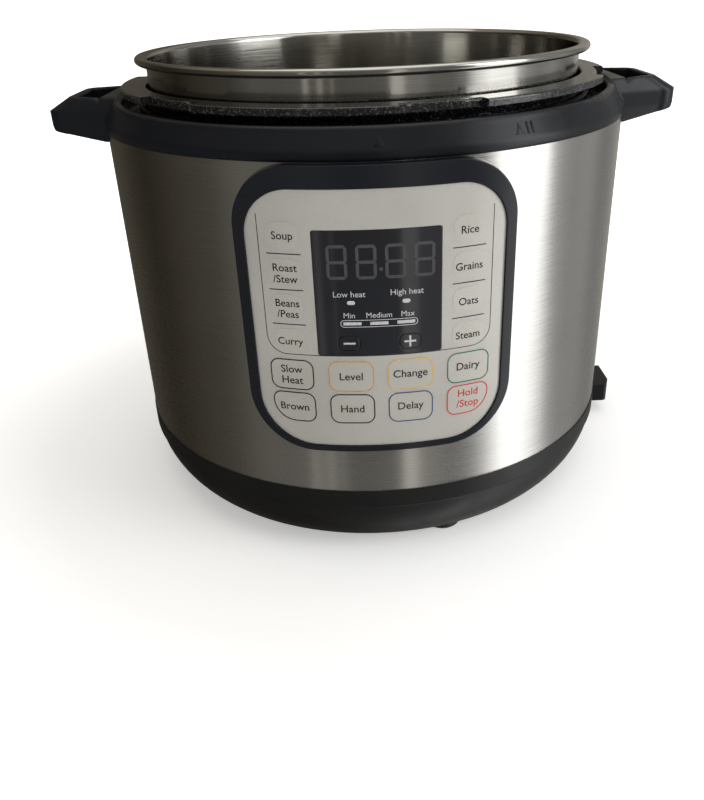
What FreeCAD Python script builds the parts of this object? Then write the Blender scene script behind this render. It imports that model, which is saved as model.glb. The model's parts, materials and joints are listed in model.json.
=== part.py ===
import FreeCAD, Part
import math
import os
import re
import Sketcher

# An electric pressure cooker without its lid: a steel housing on a moulded base, a top ring with two
# handles, an outer pot with bayonet lugs, a lift-out inner pot and a curved control panel with 18 keys.
# Frame: millimetres, +Z up, z = 0 under the feet, the Z axis through the pot, the panel faces -Y.

os.makedirs("parts", exist_ok=True)
doc = FreeCAD.newDocument("Cooker")
NODES = []

# ------------------------------------------------------------------ driving dimensions

DIMENSIONS = {
    "wide_gap": 0.3,             # clearance round anything that moves
    "snug_gap": 0.15,            # clearance between pieces that only meet
    # inner pot: the other sizes follow from its radius and height
    "pot_radius": 112.0,
    "pot_height": 157.0,
    "pot_bottom": 74.0,
    "pot_wall": 0.9,
    "pot_base": 4.0,
    "pot_corner": 8.0,
    "pot_rise": 13.5,            # of the pot's rim above the flange
    "rim_reach": 3.6,
    "rim_bead": 1.7,
    # outer pot
    "pan_room": 1.5,
    "pan_wall": 1.2,
    "pan_floor": 56.0,
    "pan_opening": 42.0,
    "flange_thickness": 4.5,
    "flange_width": 8.0,
    "lug_reach": 4.5,
    "lug_count": 6,
    "lug_span": 42.5,
    "lug_turn": 13.75,
    # housing
    "shell_room": 22.0,
    "shell_wall": 0.8,
    "shell_bottom": 40.0,
    "shell_drop": 19.3,          # of the shell's top edge below the flange
    "spigot_depth": 6.0,
    # base
    "base_lip": 0.5,
    "base_wall": 2.5,
    "base_crease": 30.0,
    "base_taper": 13.0,
    "base_curve": 42.0,
    "vent_circle": 58.0,
    "vent_length": 22.0,
    "vent_width": 3.0,
    "vent_count": 12,
    # feet and screws
    "foot_count": 5,
    "foot_height": 4.6,
    "foot_radius": 9.5,
    "foot_inset": 1.7,
    "foot_turn": 70.5,
    "screw_radius": 1.6,
    "screw_head": 3.4,
    "screw_length": 7.5,
    "base_screw_inset": 31.0,
    "base_screw_count": 3,
    # heater
    "heater_inset": 22.0,
    "heater_height": 13.0,
    "sensor_radius": 15.0,
    "sensor_cap_height": 7.0,
    "sensor_stem": 4.0,
    "spring_wire": 0.7,
    "spring_turns": 5.0,
    "strap_floor": 44.0,
    "strap_half": 29.0,
    "strap_sheet": 1.5,
    "shield_room": 4.9,
    "shield_wall": 0.6,
    "shield_bottom": 52.0,
    "shield_drop": 10.2,
    "bracket_count": 4,
    "bracket_inset": 15.5,
    "bracket_width": 16.0,
    "bracket_sheet": 1.5,
    "bracket_seat": 3.0,
    # top ring
    "ring_lip": 0.5,
    "ring_slope": 4.8,
    "ring_band": 3.6,
    "ring_drop": 6.5,            # of the ring's top below the flange
    "ring_land": 2.0,
    "moat_rise": 4.0,
    "ring_gap": 1.3,
    "ring_spigot_wall": 2.5,
    # handles
    "handle_root_half": 32.0,
    "handle_end_half": 22.5,
    "handle_corner": 9.0,
    "handle_drop": 7.7,
    "handle_lift": 6.0,          # of the underside from root to tip
    "handle_side_rise": 7.4,
    "handle_crown_rise": 1.2,
    "handle_crown_rim": 3.0,
    "handle_crown_root_half": 29.0,
    "handle_crown_half": 21.5,
    "handle_crown_corner": 7.0,
    "slot_width": 15.2,
    "slot_inset": 1.2,
    "slot_root_half": 25.0,
    "slot_half": 18.5,
    "slot_corner": 4.0,
    "grip_width": 14.5,
    "cover_half": 15.0,
    "cover_sheet": 2.2,
    "cover_corner": 3.0,
    "cover_side_wall": 2.2,
    "cover_end_wall": 2.7,
    "cover_room": 2.4,
    "handle_screw_spread": 9.5,
    # control panel, laid on cylinders about the pot's axis
    "panel_proud": 4.8,
    "panel_gap": 0.2,
    "panel_height": 131.5,
    "panel_margin": 18.8,
    "panel_corner_low": 29.0,
    "panel_corner_high": 26.0,
    "bezel_proud": 0.7,
    "bezel_top_rim": 9.5,
    "bezel_side_rim": 4.9,
    "bezel_low_rim": 3.0,
    "bezel_rest": 2.5,
    "overlay_wall": 2.1,
    "overlay_corner_low": 25.0,
    "overlay_corner_high": 20.0,
    "shell_window_margin": 4.0,
    "window_half": 27.2,
    "window_height": 56.5,
    "window_drop": 26.0,
    "window_corner": 1.2,
    "window_wall": 1.9,
    # keys
    "key_proud": 0.1,
    "key_travel": 0.5,
    "key_flange": 0.6,
    "key_flange_wall": 1.0,
    "key_stem": 2.0,
    "key_bottom_width": 20.6,
    "key_bottom_height": 15.4,
    "key_bottom_corner": 4.5,
    "key_bottom_space": 5.846,   # between neighbours, along the panel's curve
    "key_column_extra": 0.49,
    "key_row_space": 1.0,
    "key_row_drop": 2.5,
    "key_cut_corner": 10.4,
    "key_side_width": 14.4,
    "key_side_height": 11.6,
    "key_side_corner": 4.5,
    "key_side_space": 5.146,
    "key_side_drop": 2.5,
    "key_side_pitch": 15.9,
    "key_side_count": 4,
    "key_adjust_width": 9.0,
    "key_adjust_height": 6.6,
    "key_adjust_corner": 2.5,
    "key_adjust_rise": 6.0,
    # electronics
    "board_wall": 1.6,
    "board_gap": 0.6,
    "board_side_gap": 0.64,
    "board_low_margin": 13.5,
    "board_high_margin": 16.0,
    "stud_radius": 2.5,
    "stud_inset": 3.5,
    "switch_side": 6.0,
    "switch_height": 5.0,
    "power_board_floor": 14.0,
    "power_board_start": 16.0,
    "relay_start": 24.0,
    "relay_length": 28.0,
    "relay_width": 12.0,
    "relay_height": 16.0,
    "relay_edge": 4.0,
    "core_start": 54.0,
    "core_length": 28.0,
    "core_back": 10.0,
    "core_width": 24.0,
    "core_height": 18.0,
    "coil_radius": 9.0,
    "coil_length": 34.0,
    "coil_lift": 9.5,
    "capacitor_radius": 7.0,
    "capacitor_height": 17.0,
    "capacitor_x": 34.0,
    "capacitor_y": 8.0,
    "plunger_radius": 1.7,
    "plunger_height": 1.5,
    "display_back_gap": 3.5,
    "display_side_room": 4.0,
    "display_low_room": 12.0,
    "stud_drop": 8.0,            # of the upper studs below the top edge of the board
    "power_post_inset": 6.0,
    # mains inlet, on the right of the base
    "inlet_depth": 18.0,
    "inlet_front": 0.0,
    "inlet_back": 25.0,
    "inlet_bottom": 8.0,
    "inlet_top": 22.4,
    "inlet_slope": 3.0,
    "inlet_edge": 3.0,
    "socket_width": 19.4,
    "socket_height": 10.4,
    "socket_depth": 15.0,
    "socket_setback": 0.8,
    "socket_wall": 1.8,
    "pin_thickness": 1.6,
    "pin_width": 2.4,
    "pin_pitch": 5.2,
    "pin_stagger": 1.0,
    "pin_setback": 3.0,
    # condensation cup at the back
    "cup_half": 26.0,
    "cup_depth": 34.0,
    "cup_height": 48.0,
    "cup_drop": 8.2,
    "cup_wall": 1.6,
    "cup_corner": 8.0,
    "rail_half": 18.0,
    "rail_depth": 5.0,
    "drain_radius": 3.0,
}

# Sizes that follow from the ones above, from the pot outwards and downwards.
DERIVED = {
    "pan_radius": "pot_radius + pan_room",
    "pot_top": "pot_bottom + pot_height",
    "flange_radius": "pan_radius + flange_width",
    "lug_radius": "flange_radius + lug_reach",
    "flange_top": "pot_top - pot_rise",
    "shield_radius": "pan_radius + pan_wall + shield_room",
    "shield_top": "shell_top - shield_drop",
    "shell_radius": "pan_radius + shell_room",
    "shell_inside": "shell_radius - shell_wall",
    "shell_top": "flange_top - shell_drop",
    "base_radius": "shell_radius + base_lip",
    "base_foot_radius": "base_radius - base_taper",
    "foot_circle": "base_foot_radius - foot_inset - foot_radius",
    "base_screw_circle": "base_foot_radius - base_screw_inset",
    "bracket_circle": "pan_radius - bracket_inset",
    "heater_radius": "pot_radius - heater_inset",
    "ring_radius": "shell_radius + ring_lip",
    "ring_shoulder": "ring_radius - ring_slope",
    "ring_hole": "pan_radius + pan_wall + ring_gap",
    "ring_top": "flange_top - ring_drop",
    "moat_floor": "shell_top + moat_rise",
    "slot_inner": "ring_radius - slot_inset",
    "slot_outer": "slot_inner + slot_width",
    "handle_reach": "slot_outer + grip_width",
    "handle_root": "ring_shoulder - ring_land - 9",
    "handle_bottom": "shell_top - handle_drop",
    "handle_side_top": "shell_top + handle_side_rise",
    "handle_top": "ring_top + handle_crown_rise",
    "handle_crown_reach": "slot_outer + handle_crown_rim",
    "cover_inner": "slot_outer + cover_side_wall",
    "cover_outer": "handle_reach - cover_end_wall",
    "cover_bottom": "handle_bottom + handle_lift",
    "hollow_top": "cover_bottom + cover_sheet + cover_room",
    "panel_face": "shell_radius + panel_proud",
    "panel_half": "key_bottom_width * 2 + panel_margin",
    "panel_top": "shell_top - panel_gap",
    "panel_bottom": "panel_top - panel_height",
    "overlay_half": "panel_half - bezel_side_rim",
    "overlay_low": "panel_bottom + bezel_low_rim",
    "overlay_high": "panel_top - bezel_top_rim",
    "overlay_back": "panel_face - overlay_wall",
    "window_top": "panel_top - window_drop",
    "window_bottom": "window_top - window_height",
    "degrees_per_arc": "180 / (pi * panel_face)",
    "key_inner_arc": "(key_bottom_width + key_bottom_space) / 2",
    "key_inner_turn": "key_inner_arc * degrees_per_arc",
    "key_outer_turn": "(key_inner_arc * 3 + key_column_extra) * degrees_per_arc",
    "key_side_turn": "(window_half + key_side_space + key_side_width / 2) * degrees_per_arc",
    "key_upper_row": "window_bottom - key_row_drop - key_bottom_height / 2",
    "key_lower_row": "key_upper_row - key_bottom_height - key_row_space",
    "key_adjust_row": "window_bottom + key_adjust_rise",
    "key_side_first": "window_top - key_side_drop",
    "flange_face": "overlay_back - wide_gap",
    "flange_back": "flange_face - key_flange_wall",
    "board_half": "panel_half - shell_window_margin",
    "board_front": "sqrt((shell_inside - board_side_gap)^2 - board_half^2)",
    "board_back": "board_front - board_wall",
    "board_bottom": "panel_bottom + board_low_margin",
    "board_top": "panel_top - board_high_margin",
    "switch_face": "board_front + switch_height",
    "power_board_half": "base_screw_circle / 2 - screw_head - 4.6",
    "power_board_end": "base_screw_circle - 4",
    "inlet_reach": "shell_radius + inlet_depth",
    "socket_face": "inlet_reach - socket_setback",
    "socket_y": "inlet_back - inlet_edge - socket_width / 2 + 0.2",
    "socket_z": "(inlet_bottom + inlet_top) / 2",
    "cup_top": "shell_top - cup_drop",
    "cup_bottom": "cup_top - cup_height",
    "cup_mouth": "shell_radius + rail_depth",
}

sheet = doc.addObject("Spreadsheet::Sheet", "Dims")
for row, (alias, size) in enumerate(DIMENSIONS.items(), start=1):
    sheet.set(f"A{row}", alias)
    sheet.set(f"B{row}", str(size))
    sheet.setAlias(f"B{row}", alias)
doc.recompute()

# ------------------------------------------------------------------ helpers

WORD = re.compile(r"(?<![\w.])[a-z_]+(?![\w(])")


def formula(text):
    """The expression with each size's name written as a cell of the sheet, or as the formula it follows."""
    def spelled(match):
        word = match.group(0)
        if word in DERIVED:
            return "(" + formula(DERIVED[word]) + ")"
        return "Dims." + word if word in DIMENSIONS else word
    return WORD.sub(spelled, str(text))


def number(text):
    """The value that an expression has now."""
    return float(sheet.evalExpression(formula(text)))


def bind(item, **properties):
    for name, text in properties.items():
        item.setExpression(name.replace("_", "."), formula(text))
    return item


def named(item, label):
    """Marks a finished sub-part: its label is the name of its file."""
    item.Label = label
    NODES.append(item)
    return item


def turn(angle):
    return FreeCAD.Rotation(FreeCAD.Vector(0, 0, 1), angle)


def place(item, x="0", y="0", z="0", rotation=None):
    """Puts an item at expressions x, y, z, turned about its own origin."""
    if rotation is not None:
        item.Placement = FreeCAD.Placement(FreeCAD.Vector(), rotation)
    bind(item, Placement_Base_x=x, Placement_Base_y=y, Placement_Base_z=z)
    return item


def cylinder(name, radius, height, x="0", y="0", z="0", rotation=None):
    item = doc.addObject("Part::Cylinder", name)
    bind(item, Radius=radius, Height=height)
    return place(item, x, y, z, rotation)


def cone(name, low_radius, high_radius, height, x="0", y="0", z="0"):
    item = doc.addObject("Part::Cone", name)
    bind(item, Radius1=low_radius, Radius2=high_radius, Height=height)
    return place(item, x, y, z)


def box(name, x, y, z):
    """A box from (low, high) pairs of expressions."""
    item = doc.addObject("Part::Box", name)
    bind(item, Length=f"({x[1]}) - ({x[0]})", Width=f"({y[1]}) - ({y[0]})", Height=f"({z[1]}) - ({z[0]})")
    return place(item, x[0], y[0], z[0])


def fuse(name, *shapes):
    item = doc.addObject("Part::MultiFuse", name)
    item.Shapes = list(shapes)
    return item


def cut(name, base, *tools):
    item = doc.addObject("Part::Cut", name)
    item.Base = base
    item.Tool = tools[0] if len(tools) == 1 else fuse(name + "_tools", *tools)
    return item


def common(name, first, second):
    item = doc.addObject("Part::MultiCommon", name)
    item.Shapes = [first, second]
    return item


def tube(name, outer, inner, low, high):
    """A ring between two radii and two heights."""
    wall = cylinder(name + "_outer", outer, f"({high}) - ({low})", z=low)
    bore = cylinder(name + "_inner", inner, f"({high}) - ({low}) + 2", z=f"({low}) - 1")
    return cut(name, wall, bore)


def circle_centre(start, end, radius):
    """Centre of the arc from start to end; a positive radius turns anticlockwise."""
    chord = end - start
    half = chord.Length / 2
    rise = math.sqrt(max(radius * radius - half * half, 0.0))
    side = FreeCAD.Vector(-chord.y, chord.x, 0)
    side.normalize()
    return (start + end) / 2 + side * math.copysign(rise, radius)


def draw(sketch, outline):
    """Draws a closed outline of (u, v) or (u, v, radius) expressions, each bound to the sheet.

    A radius makes the edge that leaves that point an arc, anticlockwise when it is positive."""
    points = [FreeCAD.Vector(number(p[0]), number(p[1]), 0) for p in outline]
    edges = []
    for i, point in enumerate(outline):
        start, end = points[i], points[(i + 1) % len(points)]
        if len(point) == 2:
            edges.append(Part.LineSegment(start, end))
            continue
        radius = number(point[2])
        centre = circle_centre(start, end, radius)
        ring = Part.Circle(centre, FreeCAD.Vector(0, 0, 1), abs(radius))
        first, last = (start, end) if radius > 0 else (end, start)
        edges.append(Part.ArcOfCircle(ring, ring.parameter(first), ring.parameter(last)))
    sketch.addGeometry(edges)

    def tip(i, leaving):
        """Vertex number of edge i where the outline leaves or reaches it."""
        clockwise = len(outline[i]) == 3 and number(outline[i][2]) < 0
        return (1 if leaving else 2) if not clockwise else (2 if leaving else 1)

    rules, bound = [], []
    for i, point in enumerate(outline):
        before = (i - 1) % len(outline)
        rules.append(Sketcher.Constraint("Coincident", before, tip(before, False), i, tip(i, True)))
        for kind, axis, text in (("DistanceX", -2, point[0]), ("DistanceY", -1, point[1])):
            if text == "0":
                rules.append(Sketcher.Constraint("PointOnObject", i, tip(i, True), axis))
            else:
                bound.append((len(rules), text))
                rules.append(Sketcher.Constraint(kind, -1, 1, i, tip(i, True), number(text)))
        if len(point) == 3:
            bound.append((len(rules), f"abs({point[2]})"))
            rules.append(Sketcher.Constraint("Radius", i, abs(number(point[2]))))
    sketch.addConstraint(rules)
    for index, text in bound:
        sketch.setExpression(f"Constraints[{index}]", formula(text))
    return sketch


def body_plane(body, role):
    return next(item for item in body.Origin.OriginFeatures if item.Role == role)


def body_sketch(body, name, role, outline):
    sketch = body.newObject("Sketcher::SketchObject", name)
    sketch.AttachmentSupport = [(body_plane(body, role), "")]
    sketch.MapMode = "FlatFace"
    return draw(sketch, outline)


def revolved(name, outline):
    """A body turned about the pot's axis from an outline of (radius, height) points."""
    body = doc.addObject("PartDesign::Body", name)
    sketch = body_sketch(body, name + "_profile", "XZ_Plane", outline)
    feature = body.newObject("PartDesign::Revolution", name + "_turned")
    feature.Profile = (sketch, [""])
    feature.ReferenceAxis = (sketch, ["V_Axis"])
    feature.Angle = 360
    sketch.Visibility = False
    return body


def extruded(name, outline, length, rotation, z="0"):
    """A free outline pushed along its own normal."""
    sketch = doc.addObject("Sketcher::SketchObject", name + "_outline")
    place(sketch, z=z, rotation=rotation)
    draw(sketch, outline)
    item = doc.addObject("Part::Extrusion", name)
    item.Base = sketch
    item.DirMode = "Normal"
    item.Solid = True
    bind(item, LengthFwd=length)
    return item


def rounded(half, low, high, low_corner, high_corner, low_left=None):
    """A rectangle about the vertical axis with its own radius at the low and at the high corners.

    low_left gives the low corner on the left a radius of its own."""
    left = low_left or low_corner
    return [
        (f"-({half}) + {left}", low),
        (f"({half}) - {low_corner}", low, low_corner),
        (half, f"({low}) + {low_corner}"),
        (half, f"({high}) - {high_corner}", high_corner),
        (f"({half}) - {high_corner}", high),
        (f"-({half}) + {high_corner}", high, high_corner),
        (f"-({half})", f"({high}) - {high_corner}"),
        (f"-({half})", f"({low}) + {left}", left),
    ]


FLAT = FreeCAD.Rotation()
UPRIGHT = FreeCAD.Rotation(FreeCAD.Vector(1, 0, 0), 90)
SIDEWAYS = FreeCAD.Rotation(FreeCAD.Vector(0, 1, 0), 90)


def towards(azimuth):
    """Turns an upright outline so that it is pushed outwards at this azimuth from the front."""
    return turn(azimuth) * UPRIGHT


def around(name, count, radius, first, make):
    """Copies of a piece at equal steps round a circle; make(name, x, y) builds one of them."""
    pieces = []
    for i in range(int(number(count))):
        angle = f"({first} + {i} * 360 / {count})"
        pieces.append(make(f"{name}_{i + 1}", f"({radius}) * cos({angle})", f"({radius}) * sin({angle})"))
    return pieces


def screw(name, x, y, head_low):
    """A pan-head screw that points up from its head."""
    head = cone(name + "_head", "screw_head - 0.6", "screw_head", "screw_radius * 1.25", x, y, head_low)
    shank = cylinder(name + "_shank", "screw_radius", "screw_length", x, y, f"({head_low}) + screw_radius")
    slot = box(name + "_slot", (f"({x}) - screw_head", f"({x}) + screw_head"),
               (f"({y}) - 0.4", f"({y}) + 0.4"), (f"({head_low}) - 1", f"({head_low}) + 0.8"))
    return cut(name, fuse(name + "_whole", head, shank), slot)


def screw_hole(name, x, y, head_low):
    """The hole and counterbore that a screw sits in."""
    sink = cylinder(name + "_sink", "screw_head + wide_gap", "screw_radius * 1.25 + 3", x, y,
                    f"({head_low}) - 3")
    bore = cylinder(name + "_bore", "screw_radius + snug_gap", "screw_length + 1", x, y,
                    f"({head_low}) + screw_radius")
    return fuse(name, sink, bore)


# ------------------------------------------------------------------ base, feet and their screws

def base_outline(inset, low, high):
    """The bowl's outline; the inset gives the inside of its wall."""
    edge = f"base_foot_radius - ({inset}) * 0.6"
    brow = f"base_radius - 0.8 - ({inset})"
    return [
        ("0", low),
        (edge, low, f"base_curve - ({inset})"),
        (brow, "base_crease"),
        (f"base_radius - ({inset})", "base_crease + 0.8"),
        (f"base_radius - ({inset})", high),
        ("0", high),
    ]


def socket_box(name, gap, low_x, high_x):
    """The block that the mains socket fills, grown by a gap on its four sides."""
    return box(
        name, (low_x, high_x),
        (f"(socket_y) - socket_width / 2 - ({gap})", f"(socket_y) + socket_width / 2 + ({gap})"),
        (f"(socket_z) - socket_height / 2 - ({gap})", f"(socket_z) + socket_height / 2 + ({gap})"))


def base_tray():
    hull = revolved("base_hull", base_outline("0", "foot_height", "shell_bottom"))
    room = revolved("base_room", base_outline("base_wall", "foot_height + base_wall", "shell_bottom + 1"))
    spigot = tube("base_spigot", "shell_inside - wide_gap", "shell_inside - 2.8",
                  "base_crease + 4", "shell_bottom + spigot_depth")
    bosses = around("base_boss", "base_screw_count", "base_screw_circle", "90",
                    lambda name, x, y: cylinder(name, "screw_head + 2", "screw_length + 3", x, y,
                                                "foot_height"))
    posts = [cylinder(f"board_post_{i}", "3.5", "power_board_floor - foot_height - snug_gap", x, y,
                      "foot_height")
             for i, (x, y) in enumerate(POWER_POSTS, start=1)]
    seats = around("bracket_seat", "bracket_count", "bracket_circle", "45",
                   lambda name, x, y: cylinder(name, "bracket_width / 2", "bracket_seat", x, y,
                                               "foot_height + base_wall"))
    vents = []
    for i in range(int(number("vent_count"))):
        slot = box(f"vent_{i + 1}", ("vent_circle - vent_length / 2", "vent_circle + vent_length / 2"),
                   ("-vent_width / 2", "vent_width / 2"), ("foot_height - 1", "foot_height + base_wall + 1"))
        slot.Placement = FreeCAD.Placement(FreeCAD.Vector(), turn((i + 0.5) * 360 / number("vent_count")))
        rotate_about_axis(slot, f"{i + 0.5} * 360 / vent_count", "vent_circle - vent_length / 2",
                          "-vent_width / 2")
        vents.append(slot)
    holes = around("base_screw_hole", "base_screw_count", "base_screw_circle", "90",
                   lambda name, x, y: screw_hole(name, x, y, BASE_SCREW_HEAD))
    doorway = socket_box("socket_doorway", "wide_gap", "base_foot_radius - 12", "base_radius + 1")
    tray = cut("base_tray", fuse("base_solid", cut("base_bowl", hull, room), spigot, *bosses, *posts, *seats),
               doorway, *vents, *holes)
    named(tray, "base_tray")


def rotate_about_axis(item, angle, x, y):
    """Places an item whose corner is at (x, y) as if turned by an angle about the pot's axis."""
    bind(item, Placement_Base_x=f"({x}) * cos({angle}) - ({y}) * sin({angle})",
         Placement_Base_y=f"({x}) * sin({angle}) + ({y}) * cos({angle})")
    return item


BASE_SCREW_HEAD = "foot_height + 1.2"
POWER_POSTS = [(x, f"{side} * (power_board_half - power_post_inset)")
               for x in ("power_board_start + power_post_inset", "power_board_end - power_post_inset")
               for side in (-1, 1)]


def feet():
    def foot(name, x, y):
        sole = cone(name + "_sole", "foot_radius - 0.8", "foot_radius", "0.8", x, y, "0")
        pad = cylinder(name + "_pad", "foot_radius", "foot_height - 0.8", x, y, "0.8")
        return fuse(name, sole, pad)
    named(fuse("rubber_feet", *around("foot", "foot_count", "foot_circle", "foot_turn", foot)), "rubber_feet")


def base_screws():
    screws = around("base_screw", "base_screw_count", "base_screw_circle", "90",
                    lambda name, x, y: screw(name, x, y, BASE_SCREW_HEAD))
    named(fuse("base_screws", *screws), "base_screws")


def rating_plate():
    plate = box("rating_plate", ("-30", "30"), ("-17", "17"), ("foot_height - 0.4", "foot_height"))
    named(plate, "rating_plate")


# ------------------------------------------------------------------ mains inlet

def inlet():
    root = "shell_radius - 20"
    side_view = extruded("inlet_side", [
        ("inlet_front", "inlet_bottom"),
        ("inlet_back", "inlet_bottom"),
        ("inlet_back", "inlet_top - inlet_edge", "inlet_edge"),
        ("inlet_back - inlet_edge", "inlet_top"),
        ("inlet_front + inlet_slope", "inlet_top"),
        ("inlet_front", "inlet_top - inlet_slope"),
    ], f"inlet_reach - ({root})", FreeCAD.Rotation(FreeCAD.Vector(1, 1, 1), 120))
    bind(side_view.Base, Placement_Base_x=root)
    plan_view = extruded("inlet_plan", [
        (root, "inlet_front"),
        ("inlet_reach - inlet_edge", "inlet_front", "inlet_edge"),
        ("inlet_reach", "inlet_front + inlet_edge"),
        ("inlet_reach", "inlet_back - inlet_edge", "inlet_edge"),
        ("inlet_reach - inlet_edge", "inlet_back"),
        (root, "inlet_back"),
    ], "inlet_top", FLAT)
    bore = socket_box("inlet_bore", "snug_gap", "shell_radius - 22", "inlet_reach + 1")
    seat = revolved("inlet_seat", base_outline("-0.05", "foot_height - 3", "shell_bottom"))
    named(cut("inlet_housing", common("inlet_block", side_view, plan_view), bore, seat), "inlet_housing")

    body = socket_box("socket_body", "0", "shell_radius - 12", "socket_face")
    mouth = socket_box("socket_mouth", "-socket_wall", "socket_face - socket_depth", "inlet_reach + 1")
    named(cut("inlet_socket", body, mouth), "inlet_socket")

    pins = []
    places = (("-pin_pitch", "-pin_stagger"), ("0", "pin_stagger"), ("pin_pitch", "-pin_stagger"))
    for i, (offset, lift) in enumerate(places, start=1):
        y = f"socket_y + {offset}"
        z = f"socket_z + {lift}"
        pins.append(box(f"pin_{i}", ("socket_face - socket_depth", "socket_face - pin_setback"),
                        (f"{y} - pin_thickness / 2", f"{y} + pin_thickness / 2"),
                        (f"{z} - pin_width / 2", f"{z} + pin_width / 2")))
    named(fuse("inlet_pins", *pins), "inlet_pins")


# ------------------------------------------------------------------ housing

def housing():
    skin = tube("shell_skin", "shell_radius", "shell_inside", "shell_bottom", "shell_top")
    window = extruded("shell_window", rounded(
        "panel_half - shell_window_margin", "panel_bottom + shell_window_margin",
        "panel_top - shell_window_margin", "overlay_corner_low", "overlay_corner_high"),
        "shell_radius + 20", UPRIGHT)
    named(cut("housing_shell", skin, window), "housing_shell")
    shield = tube("shield_wrap", "shield_radius", "shield_radius - shield_wall", "shield_bottom", "shield_top")
    room = box("shield_relief", ("-board_half - board_gap", "board_half + board_gap"),
               ("-shell_radius", "-(board_back - board_gap)"),
               ("board_bottom - board_gap", "board_top + board_gap"))
    named(cut("heat_shield", shield, room), "heat_shield")


# ------------------------------------------------------------------ outer pot, its brackets and the heater

def outer_pot():
    wall = "pan_radius + pan_wall"
    pot = revolved("outer_pot_body", [
        ("pan_opening", "pan_floor"),
        (wall, "pan_floor"),
        (wall, "flange_top - flange_thickness - 3"),
        (f"{wall} + 1", "flange_top - flange_thickness"),
        ("flange_radius - 1", "flange_top - flange_thickness", "1"),
        ("flange_radius", "flange_top - flange_thickness + 1"),
        ("flange_radius", "flange_top - 1.2", "1.2"),
        ("flange_radius - 1.2", "flange_top"),
        ("pan_radius + 1.2", "flange_top", "1.2"),
        ("pan_radius", "flange_top - 1.2"),
        ("pan_radius", "pan_floor + pan_wall"),
        ("pan_opening", "pan_floor + pan_wall"),
    ])
    lug_ring = revolved("lug_ring", [
        ("flange_radius - 2.5", "flange_top - flange_thickness + 0.8"),
        ("lug_radius - 0.8", "flange_top - flange_thickness + 0.8", "0.8"),
        ("lug_radius", "flange_top - flange_thickness + 1.6"),
        ("lug_radius", "flange_top - 1", "1"),
        ("lug_radius - 1", "flange_top"),
        ("flange_radius - 2.5", "flange_top"),
    ])
    wedges = []
    for i in range(int(number("lug_count"))):
        wedge = cylinder(f"lug_wedge_{i + 1}", "lug_radius + 5", "flange_thickness + 4",
                         z="flange_top - flange_thickness - 2")
        bind(wedge, Angle="lug_span")
        wedge.Placement = FreeCAD.Placement(wedge.Placement.Base, turn(lug_start(i)))
        wedges.append(wedge)
    lugs = common("lugs", lug_ring, fuse("lug_wedges", *wedges))
    named(fuse("outer_pot", pot, lugs), "outer_pot")


def lug_start(i):
    return number(f"lug_turn + {i} * 360 / lug_count - lug_span / 2")


def pot_brackets():
    def bracket(name, x, y):
        floor = "foot_height + base_wall + bracket_seat"
        half = "bracket_width / 2 - 1"
        foot = box(name + "_foot", (f"({x}) - {half}", f"({x}) + {half}"),
                   (f"({y}) - {half}", f"({y}) + {half}"), (floor, f"{floor} + bracket_sheet"))
        post = box(name + "_post", (f"({x}) - {half}", f"({x}) + {half}"),
                   (f"({y}) - bracket_sheet / 2", f"({y}) + bracket_sheet / 2"), (floor, "pan_floor"))
        head = box(name + "_head", (f"({x}) - {half}", f"({x}) + {half}"),
                   (f"({y}) - {half}", f"({y}) + {half}"), ("pan_floor - bracket_sheet", "pan_floor"))
        return fuse(name, foot, post, head)
    named(fuse("pot_brackets", *around("bracket", "bracket_count", "bracket_circle", "45", bracket)),
          "pot_brackets")


HEATER_TOP = "pot_bottom - wide_gap"
HEATER_BOTTOM = "pot_bottom - wide_gap - heater_height"
SPACER_CIRCLE = "heater_radius * 2 / 3"
STRAP_SIDES = ("-7", "7")


def heater():
    disc = revolved("heater_disc", [
        ("sensor_radius + wide_gap + 0.3", HEATER_BOTTOM),
        ("heater_radius - 6", HEATER_BOTTOM, "6"),
        ("heater_radius", f"{HEATER_BOTTOM} + 6"),
        ("heater_radius", f"{HEATER_TOP} - 3", "3"),
        ("heater_radius - 3", HEATER_TOP),
        ("sensor_radius + wide_gap + 1.3", HEATER_TOP, "1"),
        ("sensor_radius + wide_gap + 0.3", f"{HEATER_TOP} - 1"),
    ])
    named(disc, "heating_plate")
    spacers = around("spacer", "3", SPACER_CIRCLE, "30", lambda name, x, y: cylinder(
        name, "5", f"{HEATER_BOTTOM} - pan_floor - pan_wall", x, y, "pan_floor + pan_wall"))
    named(fuse("heater_spacers", *spacers), "heater_spacers")

    terminals = []
    for i, side in enumerate((-1, 1), start=1):
        x = f"{side} * 9"
        terminals.append(box(f"terminal_{i}", (f"{x} - 3.2", f"{x} + 3.2"), ("31", "31.8"),
                             ("pan_floor - 7", HEATER_BOTTOM)))
    named(fuse("heater_terminals", *terminals), "heater_terminals")

    fuse_body = cylinder("fuse_body", "2.8", "20", "-10", "-31", "pan_floor - 3.2", SIDEWAYS)
    clip = box("fuse_clip", ("-3", "3"), ("-34", "-28"), ("pan_floor - 3.2", HEATER_BOTTOM))
    named(fuse("thermal_fuse", fuse_body, clip), "thermal_fuse")

    case = box("switch_case", ("-70", "-50"), ("-8", "8"), ("pan_floor - 17", "pan_floor - 4"))
    ear = box("switch_ear", ("-70", "-67"), ("-8", "8"), ("pan_floor - 17", "pan_floor"))
    lever = box("switch_lever", ("-66", "-50"), ("-2", "2"), ("pan_floor - 4", "pan_floor - 3"))
    named(fuse("pressure_switch", case, ear, lever), "pressure_switch")


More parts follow.
